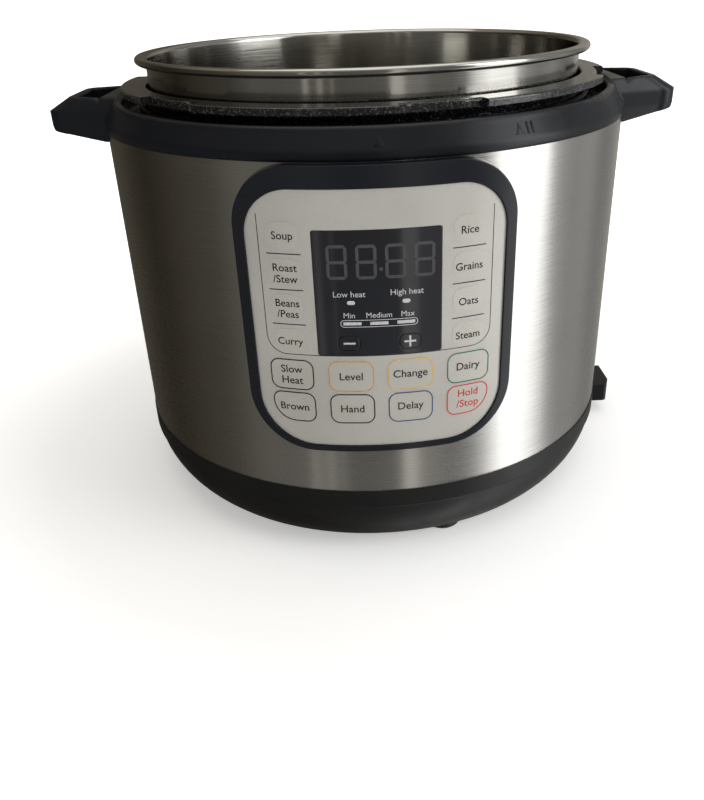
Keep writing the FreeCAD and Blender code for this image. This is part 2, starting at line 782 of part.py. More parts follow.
def sensor():
    collar = f"{HEATER_TOP} - sensor_cap_height"
    stem_low = "strap_floor - 4"
    cap = cylinder("sensor_crown", "sensor_radius", "sensor_cap_height", z=collar)
    stem = cylinder("sensor_stem_rod", "sensor_stem", f"{collar} - ({stem_low})", z=stem_low)
    named(fuse("sensor_cap", cap, stem), "sensor_cap")

    helix = doc.addObject("Part::Helix", "spring_path")
    low, high = "strap_floor + strap_sheet + spring_wire + 0.2", f"{collar} - spring_wire - 0.2"
    bind(helix, Radius="sensor_stem + spring_wire + 2", Height=f"({high}) - ({low})",
         Pitch=f"(({high}) - ({low})) / spring_turns")
    place(helix, z=low)
    wire = doc.addObject("Part::Circle", "spring_section")
    wire.Placement = FreeCAD.Placement(FreeCAD.Vector(), UPRIGHT)
    bind(wire, Radius="spring_wire", Placement_Base_x="sensor_stem + spring_wire + 2", Placement_Base_z=low)
    spring = doc.addObject("Part::Sweep", "spring_sweep")
    spring.Sections = [wire]
    spring.Spine = (helix, [])
    spring.Solid = True
    spring.Frenet = True
    named(spring, "sensor_spring")

    strap = box("strap_bar", ("-strap_half", "strap_half"), STRAP_SIDES,
                ("strap_floor", "strap_floor + strap_sheet"))
    left = box("strap_left", ("-strap_half", "-strap_half + strap_sheet"), STRAP_SIDES,
               ("strap_floor", HEATER_BOTTOM))
    right = box("strap_right", ("strap_half - strap_sheet", "strap_half"), STRAP_SIDES,
                ("strap_floor", HEATER_BOTTOM))
    hole = cylinder("strap_hole", "sensor_stem + wide_gap", "5", z="strap_floor - 1")
    named(cut("sensor_bracket", fuse("strap", strap, left, right), hole), "sensor_bracket")


# ------------------------------------------------------------------ inner pot

def inner_pot():
    inside = "pot_radius - pot_wall"
    rim = "pot_radius + rim_reach"
    named(revolved("inner_pot", [
        ("0", "pot_bottom"),
        ("pot_radius - pot_corner", "pot_bottom", "pot_corner"),
        ("pot_radius", "pot_bottom + pot_corner"),
        ("pot_radius", "pot_top - rim_bead * 2 - 1", "-1"),
        ("pot_radius + 1", "pot_top - rim_bead * 2"),
        (rim, "pot_top - rim_bead * 2", "rim_bead"),
        (f"{rim} + rim_bead", "pot_top - rim_bead", "rim_bead"),
        (rim, "pot_top"),
        (f"{inside} + 2.5", "pot_top", "2.5"),
        (inside, "pot_top - 2.5"),
        (inside, "pot_bottom + pot_base + pot_corner - pot_wall", "-(pot_corner - pot_wall)"),
        (f"{inside} - pot_corner + pot_wall", "pot_bottom + pot_base"),
        ("0", "pot_bottom + pot_base"),
    ]), "inner_pot")


# ------------------------------------------------------------------ top ring and handles

def handle_outline(reach, half_root, half_end, corner, root):
    return [
        (root, f"-({half_root})"),
        (f"({reach}) - {corner}", f"-({half_end})", corner),
        (reach, f"-({half_end}) + {corner}"),
        (reach, f"({half_end}) - {corner}", corner),
        (f"({reach}) - {corner}", half_end),
        (root, half_root),
    ]


def handle_flat(name, z, reach, half_root, half_end, corner, root):
    sketch = doc.addObject("Sketcher::SketchObject", name)
    place(sketch, z=z)
    return draw(sketch, handle_outline(reach, half_root, half_end, corner, root))


def handle_block():
    """One solid handle on the +X side, before its slot and its hollow are cut."""
    full = ("handle_reach", "handle_root_half", "handle_end_half", "handle_corner", "handle_root")
    crown = ("handle_crown_reach", "handle_crown_root_half", "handle_crown_half", "handle_crown_corner",
             "handle_root")
    low = ("handle_reach - 1.5", "handle_root_half - 1.5", "handle_end_half - 1.5", "handle_corner - 1",
           "handle_root")
    levels = [
        handle_flat("handle_sole", "handle_bottom", *low),
        handle_flat("handle_edge_low", "handle_bottom + handle_lift + 2", *full),
        handle_flat("handle_edge_high", "handle_side_top", *full),
        handle_flat("handle_crown", "handle_top", *crown),
    ]
    bands = []
    for i, (below, above) in enumerate(zip(levels, levels[1:]), start=1):
        band = doc.addObject("Part::Loft", f"handle_band_{i}")
        band.Sections = [below, above]
        band.Solid = True
        band.Ruled = True
        bands.append(band)
    under = extruded("handle_under", [
        ("shell_radius", "handle_bottom - 1"),
        ("handle_reach + 1", "handle_bottom - 1"),
        ("handle_reach + 1", "handle_bottom + handle_lift"),
        ("shell_radius", "handle_bottom"),
    ], "handle_root_half * 2", UPRIGHT)
    bind(under.Base, Placement_Base_y="handle_root_half")
    return cut("handle_right_block", fuse("handle_right_levels", *bands), under)


def mirrored(name, source):
    item = doc.addObject("Part::Mirroring", name)
    item.Source = source
    item.Normal = FreeCAD.Vector(1, 0, 0)
    return item


def plan_slab(name, low_x, high_x, half, corner, low_z, high_z):
    """A rounded block that stands on its plan outline, from low_x to high_x."""
    outline = [
        (low_x + " + " + corner, f"-({half})"),
        (f"({high_x}) - {corner}", f"-({half})", corner),
        (high_x, f"-({half}) + {corner}"),
        (high_x, f"({half}) - {corner}", corner),
        (f"({high_x}) - {corner}", half),
        (low_x + " + " + corner, half, corner),
        (low_x, f"({half}) - {corner}"),
        (low_x, f"-({half}) + {corner}", corner),
    ]
    return extruded(name, outline, f"({high_z}) - ({low_z})", FLAT, z=low_z)


HANDLE_SCREW_X = "(cover_inner + cover_outer) / 2"
HANDLE_SCREW_HEAD = "cover_bottom"


def handle_screw_places():
    for side in (-1, 1):
        for end in (-1, 1):
            yield f"{side} * {HANDLE_SCREW_X}", f"{end} * handle_screw_spread"


def top_ring():
    spigot = "shell_inside - wide_gap"
    ring = revolved("ring_body", [
        ("ring_hole", "moat_floor - 2"),
        (f"{spigot} - ring_spigot_wall", "moat_floor - 2"),
        (f"{spigot} - ring_spigot_wall", "shell_top - spigot_depth"),
        (spigot, "shell_top - spigot_depth"),
        (spigot, "shell_top"),
        ("ring_radius", "shell_top"),
        ("ring_radius - 0.3", "shell_top + ring_band"),
        ("ring_shoulder", "ring_top - 1.6", "1.8"),
        ("ring_shoulder - 1.6", "ring_top"),
        ("ring_shoulder - 1.6 - ring_land", "ring_top", "0.8"),
        ("ring_shoulder - 2.4 - ring_land", "ring_top - 0.8"),
        ("ring_shoulder - 3 - ring_land", "moat_floor + 1.5", "-1.5"),
        ("ring_shoulder - 4.5 - ring_land", "moat_floor"),
        ("ring_hole + 2", "moat_floor"),
        ("ring_hole + 2", "moat_floor + 6"),
        ("ring_hole", "moat_floor + 6"),
    ])
    right = handle_block()
    left = mirrored("handle_left_block", right)
    core = cylinder("handle_core", "ring_shoulder - ring_land - 0.6", "60", z="handle_bottom - 20")
    under = cylinder("handle_shell_core", "shell_radius + 0.05", "20", z="shell_top - 20")
    grips = cut("handle_grips", fuse("handle_pair", right, left), fuse("handle_clear", core, under))

    tools = []
    for name, side in (("right", 1), ("left", -1)):
        slot = extruded(f"slot_{name}_tool", handle_outline("slot_outer", "slot_root_half", "slot_half",
                                                            "slot_corner", "slot_inner"),
                        "handle_top - handle_bottom + 15", FLAT, z="handle_bottom - 10")
        hollow = plan_slab(f"hollow_{name}_tool", "cover_inner", "cover_outer", "cover_half", "cover_corner",
                           "handle_bottom - 10", "hollow_top")
        for tool in (slot, hollow):
            tools.append(tool if side == 1 else mirrored(tool.Name + "_flipped", tool))
    drain = cylinder("drain_hole", "drain_radius", "12", "0", "(ring_hole + ring_shoulder) / 2",
                     "moat_floor - 6")
    bosses = []
    for i, (x, y) in enumerate(handle_screw_places(), start=1):
        bosses.append(cylinder(f"handle_boss_{i}", "screw_radius + 1.6", "cover_room - wide_gap", x, y,
                               "cover_bottom + cover_sheet + wide_gap"))
    holes = [screw_hole(f"handle_hole_{i}", x, y, HANDLE_SCREW_HEAD)
             for i, (x, y) in enumerate(handle_screw_places(), start=1)]
    carved = cut("ring_carved", fuse("ring_with_grips", ring, grips), drain, *tools)
    named(cut("top_ring", fuse("ring_with_bosses", carved, *bosses), *holes), "top_ring")

    for name, side in (("right", 1), ("left", -1)):
        plate = plan_slab(f"cover_{name}_plate", "cover_inner + snug_gap", "cover_outer - snug_gap",
                          "cover_half - snug_gap", "cover_corner", "cover_bottom",
                          "cover_bottom + cover_sheet")
        if side == -1:
            plate = mirrored(f"cover_{name}_flipped", plate)
        screws = [screw_hole(f"cover_hole_{name}_{i}", x, y, HANDLE_SCREW_HEAD)
                  for i, (x, y) in enumerate(handle_screw_places(), start=1)]
        named(cut(f"handle_cover_{name}", plate, *screws), f"handle_cover_{name}")
    screws = [screw(f"handle_screw_{i}", x, y, HANDLE_SCREW_HEAD)
              for i, (x, y) in enumerate(handle_screw_places(), start=1)]
    named(fuse("handle_screws", *screws), "handle_screws")


# ------------------------------------------------------------------ control panel

PUSH = "panel_face + 25"


def layer(name, inner, outer):
    """The curved layer between two radii that a panel piece is cut from."""
    return tube(name, outer, inner, "panel_bottom - 10", "panel_top + 10")


def curved(name, outline, inner, outer, azimuth=0.0):
    """A panel piece: an outline pushed outwards at an azimuth, kept between two radii."""
    return common(name, extruded(name + "_push", outline, PUSH, towards(azimuth)),
                  layer(name + "_layer", inner, outer))


def key_outline(name, size, row, widen, heighten):
    """Outline of a key in its own direction, grown sideways and upwards by two margins."""
    half = f"key_{size}_width / 2 + ({widen})"
    low = f"({row}) - key_{size}_height / 2 - ({heighten})"
    high = f"({row}) + key_{size}_height / 2 + ({heighten})"
    corner = f"(key_{size}_corner + ({heighten}))"
    cut_corner = f"(key_cut_corner + ({heighten}))"
    if name == "key_lower_1":
        return rounded(half, low, high, corner, corner, cut_corner)
    if name == "key_lower_4":
        return flipped(rounded(half, low, high, corner, corner, cut_corner))
    return rounded(half, low, high, corner, corner)


def flipped(outline):
    """An outline mirrored left to right, still anticlockwise; the arcs keep their edges."""
    count = len(outline)
    turned = []
    for i in range(count):
        point = outline[-i % count]
        edge = outline[(-i - 1) % count]
        turned.append((f"-({point[0]})", point[1]) + tuple(edge[2:]))
    return turned


def key_list():
    """Name, size, azimuth and height of every key, left to right and top to bottom."""
    for column, side in (("left", -1), ("right", 1)):
        for i in range(int(number("key_side_count"))):
            yield (f"key_{column}_{i + 1}", "side", f"{side} * key_side_turn",
                   f"key_side_first - {i} * key_side_pitch")
    for name, side in (("key_minus", -1), ("key_plus", 1)):
        yield name, "adjust", f"{side} * key_inner_turn", "key_adjust_row"
    for row in ("upper", "lower"):
        columns = (("1", "-key_outer_turn"), ("2", "-key_inner_turn"),
                   ("3", "key_inner_turn"), ("4", "key_outer_turn"))
        for column, azimuth in columns:
            yield f"key_{row}_{column}", "bottom", azimuth, f"key_{row}_row"


def keys():
    cap_layer = layer("cap_layer", "flange_face", "panel_face + key_proud")
    flange_layer = layer("flange_layer", "flange_back", "flange_face")
    for name, size, azimuth, row in key_list():
        angle = number(azimuth)
        cap = common(name + "_cap", extruded(name + "_cap_push", key_outline(name, size, row, "0", "0"), PUSH,
                                             towards(angle)), cap_layer)
        flange = common(name + "_flange", extruded(name + "_flange_push", key_outline(
            name, size, row, "key_flange", "0"), PUSH, towards(angle)), flange_layer)
        tail = f"((switch_face + key_travel + wide_gap + key_stem * abs(sin({azimuth}))) / cos({azimuth}))"
        stem = cylinder(name + "_stem", "key_stem", f"flange_back + 0.3 - {tail}", rotation=towards(angle))
        place(stem, f"{tail} * sin({azimuth})", f"-{tail} * cos({azimuth})", row)
        named(fuse(name, cap, flange, stem), name)


def panel():
    plate = curved("bezel_plate", rounded("panel_half", "panel_bottom", "panel_top", "panel_corner_low",
                                          "panel_corner_high"), "shell_radius", "panel_face + bezel_proud")
    pocket = curved("bezel_pocket", rounded("overlay_half + snug_gap", "overlay_low - snug_gap",
                                            "overlay_high + snug_gap", "overlay_corner_low",
                                            "overlay_corner_high"), "overlay_back", "panel_face + 5")
    opening = extruded("bezel_opening", rounded("overlay_half - bezel_rest", "overlay_low + bezel_rest",
                                                "overlay_high - bezel_rest", "overlay_corner_low - bezel_rest",
                                                "overlay_corner_high - bezel_rest"), PUSH, UPRIGHT)
    posts = []
    for i, (side, z) in enumerate(BOARD_CORNERS, start=1):
        posts.append(cylinder(f"board_stud_{i}", "stud_radius", "shell_radius - board_front",
                              f"{side} * ({BOARD_SCREW_HALF})", "-board_front", z, UPRIGHT))
    inside = cylinder("stud_limit", "overlay_back", "panel_top")
    studs = common("board_studs", fuse("board_stud_set", *posts), inside)
    named(fuse("panel_bezel", cut("bezel_frame", plate, pocket, opening), studs), "panel_bezel")

    face = curved("overlay_face", rounded("overlay_half", "overlay_low", "overlay_high", "overlay_corner_low",
                                          "overlay_corner_high"), "overlay_back", "panel_face")
    openings = [extruded("window_opening", rounded("window_half", "window_bottom", "window_top",
                                                   "window_corner", "window_corner"), PUSH, UPRIGHT)]
    window_holes = []
    for name, size, azimuth, row in key_list():
        hole = extruded(name + "_hole", key_outline(name, size, row, "wide_gap", "wide_gap"), PUSH,
                        towards(number(azimuth)))
        (window_holes if size == "adjust" else openings).append(hole)
    named(cut("panel_overlay", face, *openings), "panel_overlay")

    glass = curved("window_plate", rounded("window_half - snug_gap", "window_bottom + snug_gap",
                                           "window_top - snug_gap", "window_corner", "window_corner"),
                   "panel_face - window_wall", "panel_face + 0.05")
    named(cut("display_window", glass, *window_holes), "display_window")


BOARD_SCREW_HALF = "board_half - stud_inset"
BOARD_CORNERS = [(side, z) for side in (-1, 1) for z in ("key_upper_row", "board_top - stud_drop")]


def electronics():
    front = "-board_front"
    board = box("control_card", ("-board_half", "board_half"), (front, "-board_back"),
                ("board_bottom", "board_top"))
    holes = [cylinder(f"card_hole_{i}", "screw_radius + snug_gap", "board_wall + 4",
                      f"{side} * ({BOARD_SCREW_HALF})", "-(board_back - 2)", z, UPRIGHT)
             for i, (side, z) in enumerate(BOARD_CORNERS, start=1)]
    named(cut("control_board", board, *holes), "control_board")

    switches = []
    for name, size, azimuth, row in key_list():
        x = f"switch_face * tan({azimuth})"
        half = "switch_side / 2"
        base = box(name + "_switch", (f"{x} - {half}", f"{x} + {half}"),
                   (f"{front} - switch_height + plunger_height", front), (f"{row} - {half}", f"{row} + {half}"))
        tip = cylinder(name + "_plunger", "plunger_radius", "plunger_height + 0.1", x,
                       f"{front} - switch_height + plunger_height + 0.1", row, UPRIGHT)
        switches.append(fuse(name + "_tact", base, tip))
    named(fuse("tact_switches", *switches), "tact_switches")

    block = box("display_block", ("-window_half + display_side_room", "window_half - display_side_room"),
                ("-(panel_face - window_wall - display_back_gap)", front),
                ("window_bottom + display_low_room", "window_top - display_side_room"))
    named(block, "display_module")

    screws = []
    for i, (side, z) in enumerate(BOARD_CORNERS, start=1):
        x = f"{side} * ({BOARD_SCREW_HALF})"
        screws.append(cylinder(f"board_screw_{i}", "screw_head - 0.4", "1.6", x, "-(board_back - 1.6)", z,
                               UPRIGHT))
        screws.append(cylinder(f"board_shank_{i}", "screw_radius", "board_wall", x, "-board_back", z, UPRIGHT))
    named(fuse("board_screws", *screws), "board_screws")

    floor = "power_board_floor + board_wall"
    card = box("power_card", ("power_board_start", "power_board_end"),
               ("-power_board_half", "power_board_half"), ("power_board_floor - snug_gap", floor))
    named(card, "power_board")
    edge = "-power_board_half + relay_edge"
    named(box("relay", ("relay_start", "relay_start + relay_length"), (edge, f"{edge} + relay_width"),
              (floor, f"{floor} + relay_height")), "power_relay")
    core = box("core", ("core_start", "core_start + core_length"), ("core_back - core_width", "core_back"),
               (floor, f"{floor} + core_height"))
    coil = cylinder("coil", "coil_radius", "coil_length", "core_start + (core_length - coil_length) / 2",
                    "core_back - core_width / 2", f"{floor} + coil_lift", SIDEWAYS)
    named(fuse("transformer", core, coil), "transformer")
    named(cylinder("capacitor", "capacitor_radius", "capacitor_height", "capacitor_x", "capacitor_y", floor),
          "filter_capacitor")


# ------------------------------------------------------------------ condensation cup

def cup_outline(inset):
    """Plan outline of the cup behind the housing, its flat mouth towards the shell."""
    near = f"(cup_mouth + ({inset}))"
    far = f"(shell_radius + cup_depth - ({inset}))"
    half = f"(cup_half - ({inset}))"
    corner = f"(cup_corner - ({inset}))"
    return [
        (f"-{half}", near),
        (half, near),
        (half, f"{far} - {corner}", corner),
        (f"{half} - {corner}", far),
        (f"-{half} + {corner}", far, corner),
        (f"-{half}", f"{far} - {corner}"),
    ]


def condensation_cup():
    height = "cup_top - cup_bottom"
    outside = extruded("cup_outside", cup_outline("0"), height, FLAT, z="cup_bottom")
    inside = extruded("cup_inside", cup_outline("cup_wall"), height, FLAT, z="cup_bottom + cup_wall")
    tabs = []
    for i, side in enumerate((-1, 1), start=1):
        x = f"{side} * (rail_half - 3)"
        tabs.append(box(f"cup_tab_{i}", (f"{x} - 2", f"{x} + 2"),
                        ("cup_mouth - 2.4", "cup_mouth + 0.5"),
                        ("cup_top - 30", "cup_top - 10")))
    named(fuse("condensation_cup", cut("cup_shell", outside, inside), *tabs), "condensation_cup")

    rails = box("rail_block", ("-rail_half", "rail_half"),
                ("shell_radius - 10", "cup_mouth - wide_gap"), ("cup_top - 36", "cup_top - 4"))
    tracks = []
    for i, side in enumerate((-1, 1), start=1):
        x = f"{side} * (rail_half - 3)"
        tracks.append(box(f"rail_track_{i}", (f"{x} - 2 - wide_gap", f"{x} + 2 + wide_gap"),
                          ("cup_mouth - 2.4 - wide_gap", "cup_mouth + 2"),
                          ("cup_top - 30 - wide_gap", "cup_top - 10 + wide_gap")))
    clear = cylinder("rail_clear_of_shell", "shell_radius + 0.02", "100", z="cup_top - 60")
    named(cut("collector_bracket", rails, clear, *tracks), "collector_bracket")


# ------------------------------------------------------------------ build, check and write

base_tray()
feet()
base_screws()
rating_plate()
inlet()
housing()
outer_pot()
pot_brackets()
heater()
sensor()
inner_pot()
top_ring()
panel()
keys()
electronics()
condensation_cup()
doc.recompute()

failed = [item.Name for item in doc.Objects if "Invalid" in item.State or "Error" in item.State]
if failed:
    raise RuntimeError(f"these failed: {failed}")
for node in NODES:
    if node.Shape.isNull() or not node.Shape.isValid():
        raise RuntimeError(f"{node.Label} has no valid shape")
for node in NODES:
    node.Shape.exportStep(f"parts/{node.Label}.step")
print(len(NODES), "nodes")
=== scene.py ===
import json
import math

import bmesh
import bpy
from mathutils import Matrix, Vector

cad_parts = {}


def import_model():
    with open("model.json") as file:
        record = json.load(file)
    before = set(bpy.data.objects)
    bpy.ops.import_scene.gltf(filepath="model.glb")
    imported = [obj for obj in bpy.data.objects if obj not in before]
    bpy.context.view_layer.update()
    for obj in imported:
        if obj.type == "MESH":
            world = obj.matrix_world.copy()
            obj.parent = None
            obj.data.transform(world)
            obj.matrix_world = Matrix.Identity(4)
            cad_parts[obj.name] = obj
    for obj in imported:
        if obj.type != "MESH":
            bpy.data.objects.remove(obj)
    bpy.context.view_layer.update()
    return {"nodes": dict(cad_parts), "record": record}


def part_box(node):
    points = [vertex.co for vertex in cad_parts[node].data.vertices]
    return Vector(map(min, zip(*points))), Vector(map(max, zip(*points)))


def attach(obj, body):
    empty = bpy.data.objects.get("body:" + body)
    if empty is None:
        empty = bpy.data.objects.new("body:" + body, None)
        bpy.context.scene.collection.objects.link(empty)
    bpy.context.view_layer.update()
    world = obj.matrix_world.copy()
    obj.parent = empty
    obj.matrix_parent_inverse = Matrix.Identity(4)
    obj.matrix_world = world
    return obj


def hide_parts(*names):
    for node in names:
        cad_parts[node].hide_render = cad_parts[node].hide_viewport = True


# Looks of the electric pressure cooker base: materials for every CAD node, the printed panel, the raised
# marks on the top ring, the pressed inner pot, the floor, the light and the camera.
# Metres; the panel faces -Y, +Z is up, and sizes in millimetres are multiplied by MM.

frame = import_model()
nodes = frame["nodes"]
MM = 0.001

# ------------------------------------------------------------------ node material helpers


class Graph:
    """A node tree, with short calls for adding, linking and calculating."""

    def __init__(self, tree):
        self.tree = tree

    def add(self, kind, **settings):
        node = self.tree.nodes.new(kind)
        for key, value in settings.items():
            setattr(node, key, value)
        return node

    def link(self, source, target):
        self.tree.links.new(source, target)

    def math(self, operation, a, b=None):
        node = self.add("ShaderNodeMath", operation=operation)
        for socket, value in zip(node.inputs, (a, b)):
            if isinstance(value, (int, float)):
                socket.default_value = value
            elif value is not None:
                self.link(value, socket)
        return node.outputs[0]

    def azimuth(self, x, y):
        """Angle about the pot's axis from straight in front, positive to the right."""
        return self.math("ARCTAN2", x, self.math("MULTIPLY", y, -1.0))


class Look(Graph):
    """A node material on one Principled shader, with short calls for the nodes it needs."""

    def __init__(self, name, color, roughness, metallic=0.0, **sockets):
        self.material = bpy.data.materials.new(name)
        self.material.use_nodes = True
        super().__init__(self.material.node_tree)
        self.shader = self.tree.nodes["Principled BSDF"]
        self.shader.inputs["Base Color"].default_value = (*color, 1.0)
        self.shader.inputs["Roughness"].default_value = roughness
        self.shader.inputs["Metallic"].default_value = metallic
        for key, value in sockets.items():
            self.shader.inputs[key.replace("_", " ").title().replace("Ior", "IOR")].default_value = value
        self.coords = self.add("ShaderNodeTexCoord").outputs["Object"]

    def stretched(self, vector, x, y, z):
        node = self.add("ShaderNodeMapping")
        self.link(vector, node.inputs["Vector"])
        node.inputs["Scale"].default_value = (x, y, z)
        return node.outputs[0]

    def around_axis(self):
        """Coordinates (arc length at the shell, height, distance from the pot's axis)."""
        split = self.add("ShaderNodeSeparateXYZ")
        self.link(self.coords, split.inputs[0])
        x, y, z = split.outputs
        angle = self.azimuth(x, y)
        radius = self.math("SQRT", self.math("ADD", self.math("MULTIPLY", x, x), self.math("MULTIPLY", y, y)))
        joined = self.add("ShaderNodeCombineXYZ")
        self.link(self.math("MULTIPLY", angle, SHELL_RADIUS), joined.inputs[0])
        self.link(z, joined.inputs[1])
        self.link(radius, joined.inputs[2])
        return joined.outputs[0]

    def noise(self, scale, detail=3.0, roughness=0.5, vector=None):
        node = self.add("ShaderNodeTexNoise")
        self.link(vector or self.coords, node.inputs["Vector"])
        node.inputs["Scale"].default_value = scale
        node.inputs["Detail"].default_value = detail
        node.inputs["Roughness"].default_value = roughness
        return node.outputs["Fac"]

    def cells(self, scale):
        node = self.add("ShaderNodeTexVoronoi", feature="F1")
        self.link(self.coords, node.inputs["Vector"])
        node.inputs["Scale"].default_value = scale
        return node.outputs["Distance"]

    def spread(self, value, low, high, source_low=0.3, source_high=0.7):
        node = self.add("ShaderNodeMapRange")
        self.link(value, node.inputs["Value"])
        limits = {"From Min": source_low, "From Max": source_high, "To Min": low, "To Max": high}
        for key, number in limits.items():
            node.inputs[key].default_value = number
        return node.outputs["Result"]

    def rough(self, value, low, high):
        self.link(self.spread(value, low, high), self.shader.inputs["Roughness"])

    def tint(self, value, dark, light, low=0.3, high=0.7):
        node = self.add("ShaderNodeValToRGB")
        self.link(value, node.inputs["Fac"])
        node.color_ramp.elements[0].position = low
        node.color_ramp.elements[0].color = (*dark, 1.0)
        node.color_ramp.elements[1].position = high
        node.color_ramp.elements[1].color = (*light, 1.0)
        self.link(node.outputs["Color"], self.shader.inputs["Base Color"])

    def bump(self, height, strength, distance=0.0002):
        node = self.add("ShaderNodeBump")
        node.inputs["Strength"].default_value = strength
        node.inputs["Distance"].default_value = distance
        self.link(height, node.inputs["Height"])
        previous = self.shader.inputs["Normal"].links
        if previous:
            self.link(previous[0].from_socket, node.inputs["Normal"])
        self.link(node.outputs["Normal"], self.shader.inputs["Normal"])

    def soften(self, radius):
        """Rounds the look of the edges; comes before bump, which builds on it."""
        node = self.add("ShaderNodeBevel", samples=6)
        node.inputs["Radius"].default_value = radius
        self.link(node.outputs["Normal"], self.shader.inputs["Normal"])

    def grain_across(self):
        """Turns the stretched highlight upright, across brush lines that run round the pot's axis."""
        tangent = self.add("ShaderNodeTangent", direction_type="RADIAL", axis="Z")
        self.link(tangent.outputs[0], self.shader.inputs["Tangent"])
        self.shader.inputs["Anisotropic Rotation"].default_value = 0.25


SHELL_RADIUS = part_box("housing_shell")[1].x

# ------------------------------------------------------------------ materials


def moulded(name, dark, light, low, high, grain=900.0, strength=0.12, edge=0.0008, **sockets):
    """Moulded plastic: a fine spark-eroded grain, slow colour drift and uneven gloss."""
    look = Look(name, dark, low, **sockets)
    look.tint(look.noise(14.0, 4.0), dark, light)
    look.rough(look.noise(60.0, 4.0), low, high)
    look.soften(edge)
    look.bump(look.noise(grain, 2.0, 0.6), strength, 0.0001)
    return look


def brushed(name, dark, light, low, high, stretch, anisotropy, lines=0.05):
    """Steel brushed in rings about the pot's axis."""
    look = Look(name, light, low, 1.0, anisotropic=anisotropy)
    around = look.around_axis()
    fine = look.noise(1.0, 3.0, 0.6, look.stretched(around, stretch * 0.012, stretch, stretch * 0.5))
    broad = look.noise(1.0, 4.0, 0.6, look.stretched(around, 9.0, 30.0, 9.0))
    mixed = look.math("ADD", look.math("MULTIPLY", fine, 0.6), look.math("MULTIPLY", broad, 0.4))
    look.tint(mixed, dark, light)
    look.rough(fine, low, high)
    look.bump(fine, lines, 0.00005)
    look.grain_across()
    return look


def plated(name, color, low, high, scale=400.0):
    look = Look(name, color, low, 1.0)
    look.rough(look.noise(scale, 3.0), low, high)
    look.tint(look.noise(scale * 0.25, 3.0), tuple(c * 0.82 for c in color), color)
    look.bump(look.noise(scale * 3.0, 2.0), 0.08, 0.00005)
    return look


def hammered_coat():
    """Thick glossy black coating with a hammered skin and bright flecks painted into its colour, partly its
    own flecks and partly painted glints.
    """
    look = Look("hammered_coat", (0.012, 0.012, 0.013), 0.22, 0.0, coat_weight=0.8, coat_roughness=0.05,
                specular_ior_level=0.18)
    lumps = look.noise(260.0, 2.0, 0.5)
    cells = look.cells(520.0)
    fine = look.noise(1100.0, 2.0, 0.6)
    # Bright flecks in the base colour: partly the coat's own flecks, partly painted glints (painted
    # highlight).
    look.tint(fine, (0.005, 0.005, 0.006), (0.13, 0.13, 0.13), 0.56, 0.74)
    look.rough(fine, 0.14, 0.36)
    look.bump(lumps, 0.6, 0.0012)
    look.bump(cells, 0.5, 0.0005)
    look.bump(fine, 0.35, 0.00025)
    return look


def rubber_look():
    look = Look("foot_rubber", (0.02, 0.02, 0.02), 0.7)
    look.tint(look.noise(120.0, 3.0), (0.012, 0.012, 0.012), (0.035, 0.034, 0.033))
    look.rough(look.noise(300.0, 3.0), 0.6, 0.85)
    look.bump(look.noise(1600.0, 2.0), 0.25, 0.0001)
    return look


def cast_look():
    look = plated("cast_aluminium", (0.55, 0.55, 0.54), 0.4, 0.6, 300.0)
    look.bump(look.cells(500.0), 0.2, 0.0002)
    return look


def board_look():
    """Green solder mask with copper tracks under it."""
    look = Look("solder_mask", (0.01, 0.09, 0.03), 0.35, coat_weight=0.3)
    tracks = look.add("ShaderNodeTexBrick", offset=0.37, squash=0.7, squash_frequency=3)
    look.link(look.coords, tracks.inputs["Vector"])
    tracks.inputs["Scale"].default_value = 160.0
    tracks.inputs["Mortar Size"].default_value = 0.06
    look.tint(tracks.outputs["Fac"], (0.006, 0.07, 0.022), (0.02, 0.16, 0.05), 0.2, 0.8)
    look.rough(look.noise(500.0), 0.3, 0.5)
    look.bump(tracks.outputs["Fac"], 0.15, 0.00005)
    return look


def coil_look():
    look = Look("wound_copper", (0.5, 0.2, 0.06), 0.35, 0.8)
    wave = look.add("ShaderNodeTexWave", bands_direction="X")
    look.link(look.coords, wave.inputs["Vector"])
    wave.inputs["Scale"].default_value = 600.0
    look.tint(wave.outputs["Fac"], (0.18, 0.07, 0.03), (0.6, 0.27, 0.1), 0.2, 0.8)
    look.rough(look.noise(300.0), 0.25, 0.45)
    look.bump(wave.outputs["Fac"], 0.5, 0.0002)
    return look


def clear_cup():
    look = Look("clear_cup", (0.86, 0.9, 0.92), 0.08, transmission_weight=0.9, ior=1.49)
    look.tint(look.noise(20.0, 3.0), (0.78, 0.83, 0.86), (0.9, 0.93, 0.95))
    look.rough(look.noise(80.0, 3.0), 0.06, 0.16)
    look.bump(look.noise(60.0, 2.0), 0.05, 0.0004)
    return look


def silver_paint(name, warm=1.0):
    """Satin silver film with metal flake."""
    look = Look(name, (0.5, 0.49, 0.46), 0.42, 0.35)
    flake = look.noise(2600.0, 1.0)
    drift = look.noise(24.0, 3.0)
    mixed = look.math("ADD", look.math("MULTIPLY", flake, 0.45), look.math("MULTIPLY", drift, 0.55))
    look.tint(mixed, (0.46 * warm, 0.445 * warm, 0.415), (0.6 * warm, 0.585 * warm, 0.55))
    look.rough(flake, 0.36, 0.5)
    look.bump(flake, 0.06, 0.00003)
    return look


def ink(name, color):
    """Printed ink: slightly uneven cover over a matt film."""
    look = Look(name, color, 0.55, specular_ior_level=0.25)
    look.tint(look.noise(900.0, 3.0), tuple(c * 0.8 for c in color), tuple(min(c * 1.15, 1.0) for c in color))
    look.rough(look.noise(700.0), 0.48, 0.62)
    look.bump(look.noise(2500.0, 2.0), 0.1, 0.00002)
    return look


